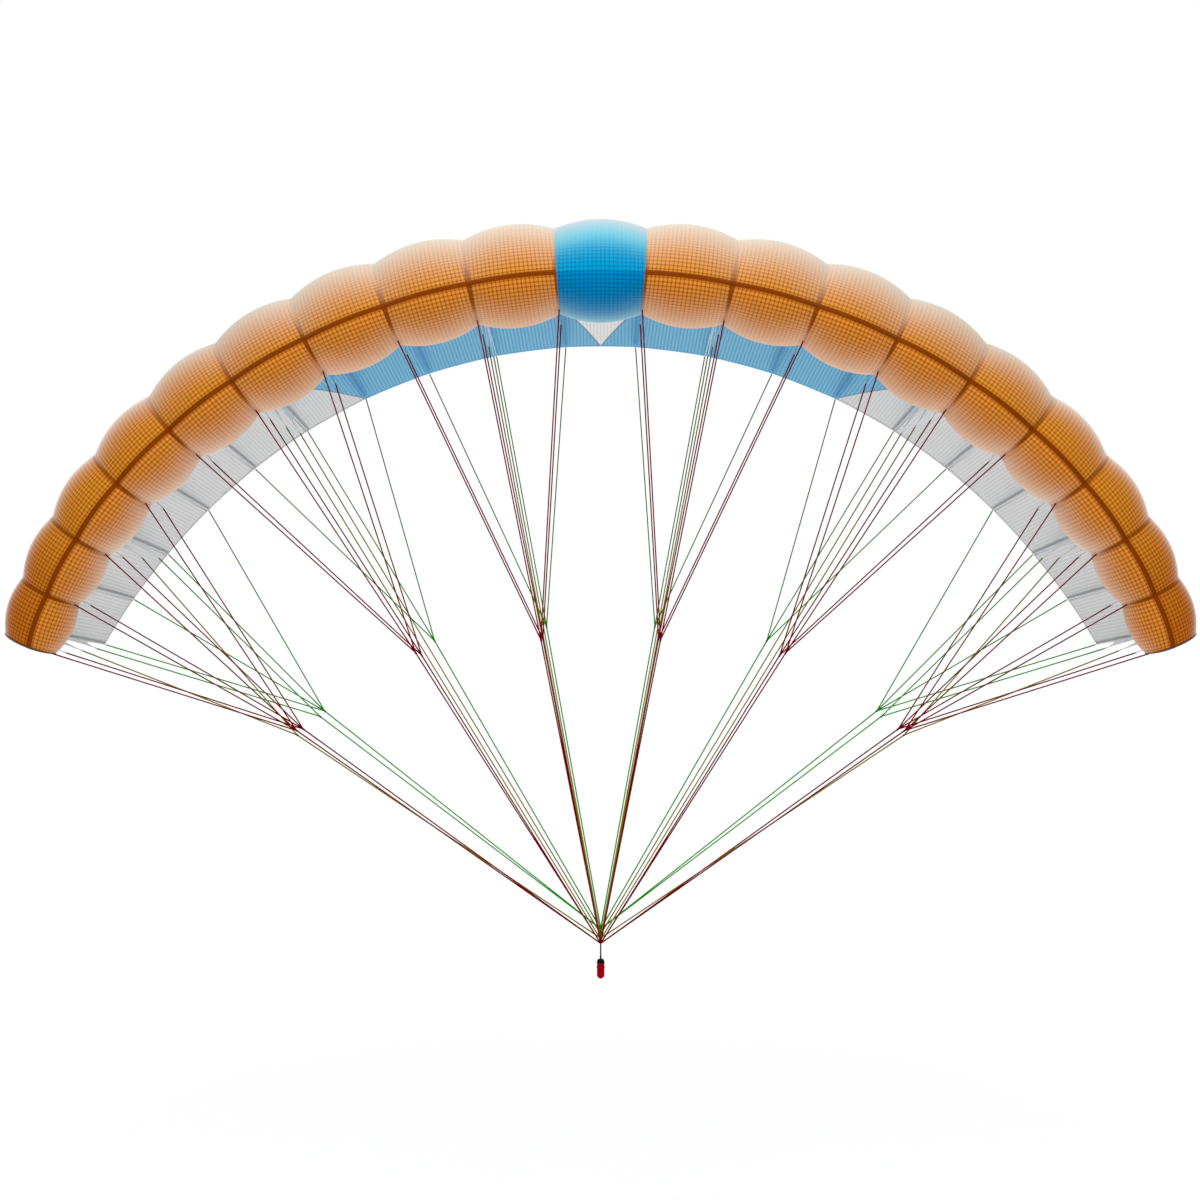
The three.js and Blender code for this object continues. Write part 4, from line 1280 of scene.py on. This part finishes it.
# Painted light: the pale ribs, and their hem most of all, are lighter than the cloth, to offset the
# shade they stand in between the cells and along their edge.
PALE_RIB = (paint(242, 242, 244), paint(226, 227, 230))
BLUE_RIB = (paint(104, 172, 214), paint(88, 158, 202))
pale_rib = rib_finish("rib_cloth", PALE_RIB, paint(246, 246, 247), paint(233, 234, 238))
blue_rib = rib_finish("blue_rib_cloth", BLUE_RIB, paint(100, 170, 212), paint(100, 170, 212))
print("rib finishes:", pale_rib.name, blue_rib.name)

# %% Ribs
RIB_SHEET = 0.0012
RIB_BELOW_SKIN = 0.001
TOOTH_TIP_HALF = 0.0025
ARCH_RISE = 0.62
ARCH_POWER = 0.7
ARCH_STEPS = 26
NOSE_COLUMNS = 16
NOSE_START_ANGLE = 0.02
RIB_ROWS = 9
BLUE_RIBS = (1, 3, 4)


def lower_edge(rib):
    """Back and up of the rib's lower edge: round the nose, then arch, tooth, arch to the tail."""
    chord = rib.chord
    angle = np.linspace(NOSE_START_ANGLE, math.pi / 2, NOSE_COLUMNS)
    back = RIB_BELOW_SKIN + (UNDER_NOSE_BACK * chord - RIB_BELOW_SKIN) * (1 - np.cos(angle))
    up = -(UNDER_NOSE_DROP * chord - RIB_BELOW_SKIN) * np.sin(angle)
    edge = list(zip(back, up))
    share = np.linspace(0, 1, ARCH_STEPS + 1)[1:-1]
    hollow = 1 - ARCH_RISE * np.sin(math.pi * share) ** ARCH_POWER
    for tooth in teeth_of(rib):
        tip_back, tip_up = tooth_tip(rib, tooth)
        ends = np.array([edge[-1][0], tip_back - TOOTH_TIP_HALF])
        depths = top_height(rib, ends / chord) * chord - (edge[-1][1], tip_up)
        arch = np.interp(share, (0, 1), ends)
        depth = np.interp(share, (0, 1), depths) * hollow
        edge += list(zip(arch, top_height(rib, arch / chord) * chord - depth))
        edge += [(tip_back - TOOTH_TIP_HALF, tip_up), (tip_back + TOOTH_TIP_HALF, tip_up)]
    return np.array(edge).T


def upper_edge(rib, back):
    """The rib's edge just under the top cloth, at distances back along the chord."""
    crest_back = CREST_BACK * rib.chord
    ahead = np.clip((crest_back - back) / (crest_back - RIB_BELOW_SKIN), 0, 1)
    nose = (rib.crest * rib.chord - RIB_BELOW_SKIN) * np.sqrt(1 - ahead**2)
    rear = top_height(rib, back / rib.chord) * rib.chord - RIB_BELOW_SKIN
    return np.where(back < crest_back, nose, rear)


def across_rib(rib):
    """The unit vector square to a rib's plane."""
    return np.array([-math.cos(rib.cant), 0, rib.side * math.sin(rib.cant)])


def add_rib(rib):
    back, low = lower_edge(rib)
    high = upper_edge(rib, back)
    up = low[:, None] + (high - low)[:, None] * np.linspace(0, 1, RIB_ROWS)
    along = np.broadcast_to(back[:, None], up.shape)
    middle = rib_point(rib, along, up)
    half = across_rib(rib) * RIB_SHEET / 2
    tips = np.array([tooth_tip(rib, tooth) for tooth in teeth_of(rib)])
    reach = np.hypot(along[..., None] - tips[:, 0], up[..., None] - tips[:, 1]).min(-1)
    weave = np.stack([along, up, up - low[:, None]], -1)
    lay = np.stack([high[:, None] - up, reach, along], -1)
    part = closed_sheet(middle + half, middle - half, weave=weave, lay=lay)
    cloth = blue_rib if rib.number in BLUE_RIBS else pale_rib
    piece = add_piece(f"{rib.name}_cloth", part, [cloth], [rib.name])
    size = (float(np.ptp(back)), float(high.max() - low.min()))
    grid_area(middle)
    return size


rib_sizes = [add_rib(rib) for rib in all_ribs]
print("ribs:", len(rib_sizes), "largest", [round(value, 3) for value in max(rib_sizes)], "m")

# %% [markdown]
# ## Top cloth and nose cloth
# Each cell has one cut of top cloth, from the leading edge to the hemmed tail, and the nose is closed
# below by a second cut that ends a little behind the first row of lines. Both are fine grids on the
# cell's blown face. The hem is the cloth itself, folded over, so the sheet is simply thicker along its
# free edge.

# %% Cell sheets
SKIN_SHEET = 0.0008
HEM_SHEET = 0.0016
HEM_WIDTH = 0.010
ACROSS_STEPS = 24
TOP_ROWS = 57
NOSE_ROWS = 21
HEM_ROW_SHARES = (1.02, 0.98)
CENTRE = RIBS_PER_SIDE - 1
CELLS_PER_NOSE_RUN = 3


def cell_part(cell, turns):
    """The closed sheet of one cell over a run of turns, with its flat size and area."""
    left, right = all_ribs[CENTRE + cell], all_ribs[CENTRE + cell + 1]
    surface = cell_surface(left, right)
    turn, across = np.meshgrid(turns, np.linspace(0, 1, ACROSS_STEPS + 1), indexing="ij")
    outer = surface(turn, across)
    span, chord = walked(outer, 1), walked(outer, 0)
    width, length = span[:, -1:], chord[-1:]
    is_nose = turns[0] < 0
    free_edge = chord if is_nose else length - chord
    thick = np.where(free_edge <= HEM_WIDTH, HEM_SHEET, SKIN_SHEET)
    inner = outer - outward(surface, turn, across) * thick[..., None]
    along = chord - length if is_nose else chord
    weave = np.stack([span - width / 2, along, np.minimum(span, width - span)], -1)
    lay = np.stack([cell - HALF_CELL + across, profile(left, turn)[0], turn], -1)
    flat = (float(width.max()), float(length.max()))
    return closed_sheet(outer, inner, weave=weave, lay=lay), flat, grid_area(outer)


def side_label(cell):
    if cell == 0:
        return "centre"
    return f"{'left' if cell < 0 else 'right'}_{abs(cell)}"


def ribs_round(cells):
    return [all_ribs[CENTRE + cell].name for cell in (*cells, cells[-1] + 1)]


tail_hem = [2 - HEM_WIDTH / ((1 - CREST_BACK) * ROOT_CHORD) * share for share in HEM_ROW_SHARES]
top_turns = np.unique(np.concatenate([np.linspace(0, 2, TOP_ROWS), tail_hem]).round(6))
nose_turns = np.linspace(-1, 0, NOSE_ROWS).round(6)
print("rows of a cell:", len(top_turns), "on top,", len(nose_turns), "under the nose")

# %% Top cloth
cloth_area = 0
for cell in range(-CENTRE, CENTRE + 1):
    part, flat, area = cell_part(cell, top_turns)
    node = f"top_panel_{side_label(cell)}"
    piece = add_piece(f"{node}_cloth", part, [canopy_top, canopy_underside], [node])
    ribs_round([cell])
    cloth_area += area
print("top cloth:", round(cloth_area, 2), "square metres, tip cut", [round(x, 3) for x in flat], "m")


# %% Nose cloth
def add_nose_run(node, cells):
    parts, flats, areas = zip(*(cell_part(cell, nose_turns) for cell in cells))
    piece = add_piece(f"{node}_cloth", joined(parts), [nose_outside, nose_inside], [node])
    ribs_round(cells)


add_nose_run("nose_panel_centre", [0])
for first in range(1, CENTRE + 1, CELLS_PER_NOSE_RUN):
    last = first + CELLS_PER_NOSE_RUN - 1
    add_nose_run(f"nose_panel_right_{first}_to_{last}", list(range(first, last + 1)))
    add_nose_run(f"nose_panel_left_{last}_to_{first}", list(range(-last, -first + 1)))

# %% [markdown]
# ## Trim
# Small sewn parts finish the cloth. A dark tape binds the outer edge of each tip rib, and a webbing
# loop is folded over every tooth, or sewn into the seam of row A, for its line. Both repeat along the
# ribs, so loops build them.

# %% Tip binding and line tabs
BINDING_RADIUS = 0.0017
BINDING_STEPS = 81
WEBBING_LAY = 0.0016
WEBBING_STRANDS = 5.0
TAB_WIDTH = 0.006
TAB_SHEET = 0.0007
TAB_CLEARANCE = 0.0002
TAB_HEIGHTS = {"A": 0.002, "B": 0.008, "C": 0.008, "D": 0.008, "tail": 0.006}
TAB_DROP = 0.0034
TAB_BEND_STEPS = 9


def webbing_finish(name, light, dark):
    finish = Finish(name, gloss=0.1, sheen=0.1)
    run = finish.marks("run")[3]
    height, tone = place_group(braid, Run=run, Lay=WEBBING_LAY, Strands=WEBBING_STRANDS)
    colour = tone.blend(dark, light)
    return finish.done(colour, roughness=0.7, height=height, relief=CORD_RELIEF, bumps=0.5)


tip_tape = webbing_finish("tip_tape", paint(92, 104, 122), paint(70, 82, 100))
tab_webbing = webbing_finish("tab_webbing", paint(208, 207, 209), paint(184, 183, 186))


def tip_binding(rib):
    outside = -rib.side * across_rib(rib)
    path = rail(rib, np.linspace(-1, 1, BINDING_STEPS)) + outside * BINDING_RADIUS / 2
    return tube(path, BINDING_RADIUS)


def line_tab(rib, tooth):
    """A ribbon folded over a tooth: down one side, round under its tip and up the other side."""
    back, up = tooth_tip(rib, tooth)
    top = TAB_HEIGHTS[tooth]
    half = RIB_SHEET / 2 + TAB_CLEARANCE
    swing = np.linspace(0, math.pi, TAB_BEND_STEPS)
    aside = np.concatenate([[half], half * np.cos(swing), [-half]])
    height = np.concatenate([[top], -TAB_DROP * np.sin(swing), [top]])
    ahead = unit(np.gradient(np.stack([aside, height], 1), axis=0))
    layers = []
    for sheet in (TAB_SHEET, 0):
        lean, rise_by = aside - ahead[:, 1] * sheet, height + ahead[:, 0] * sheet
        edges = [rib_point(rib, back + edge, up + rise_by) for edge in (-TAB_WIDTH / 2, TAB_WIDTH / 2)]
        layers.append(np.stack(edges, 1) + np.outer(lean, across_rib(rib))[:, None])
    run = walked(layers[0], 0)
    girth = np.broadcast_to((0.0, 1.0), run.shape)
    return closed_sheet(*layers, run=np.stack([run, girth, np.zeros_like(run)], -1))


for rib in (left_ribs[-1], right_ribs[-1]):
    add_piece(f"{rib.name}_binding", tip_binding(rib), [tip_tape])
tabs = [line_tab(rib, row) for rib in all_ribs for row in ["A", *teeth_of(rib)]]
add_piece("line_tabs", joined(tabs), [tab_webbing])
print("trim: 2 bindings,", len(tabs), "line tabs")

# %% [markdown]
# ## Studio
# The wing hangs in even white light, as in a light tent: a white world all round, a pale floor under
# the rider's hand, and one large soft lamp above the nose that makes the upper cloth a little brighter
# than the lower. Strong small lamps would throw line shadows over the cloth.

# %% Floor, light and world
FLOOR_UP = -1.25
FLOOR_HALF = 30
LAMP_WIDTH = 2.4
LAMP_WATTS = 60
LAMP_PLACE = (0, -2.2, 4.2)
LAMP_TILT = math.radians(42)
PURE_WHITE = (1, 1, 1, 1)

corners = [(-1, -1), (1, -1), (1, 1), (-1, 1)]
floor_points = [(x * FLOOR_HALF, y * FLOOR_HALF, FLOOR_UP) for x, y in corners]
floor_mesh = bpy.data.meshes.new("floor")
floor_mesh.from_pydata(floor_points, [], [(0, 1, 2, 3)])
floor_mesh.materials.append(Finish("pale_floor").done(PURE_WHITE, roughness=0.9))
floor = bpy.data.objects.new("floor", floor_mesh)
bpy.context.scene.collection.objects.link(floor)

world = bpy.data.worlds.new("studio")
world.use_nodes = True
backdrop = world.node_tree.nodes["Background"]
backdrop.inputs["Color"].default_value = PURE_WHITE
backdrop.inputs["Strength"].default_value = 1.0
bpy.context.scene.world = world

lamp_data = bpy.data.lights.new("soft_lamp", "AREA")
lamp_data.shape = "DISK"
lamp_data.size = LAMP_WIDTH
lamp_data.energy = LAMP_WATTS
lamp = bpy.data.objects.new("soft_lamp", lamp_data)
lamp.location = LAMP_PLACE
lamp.rotation_euler = (LAMP_TILT, 0, 0)
bpy.context.scene.collection.objects.link(lamp)
bpy.context.scene.view_settings.view_transform = "Standard"
print("studio: floor at", FLOOR_UP, "m, lamp", LAMP_WATTS, "W")
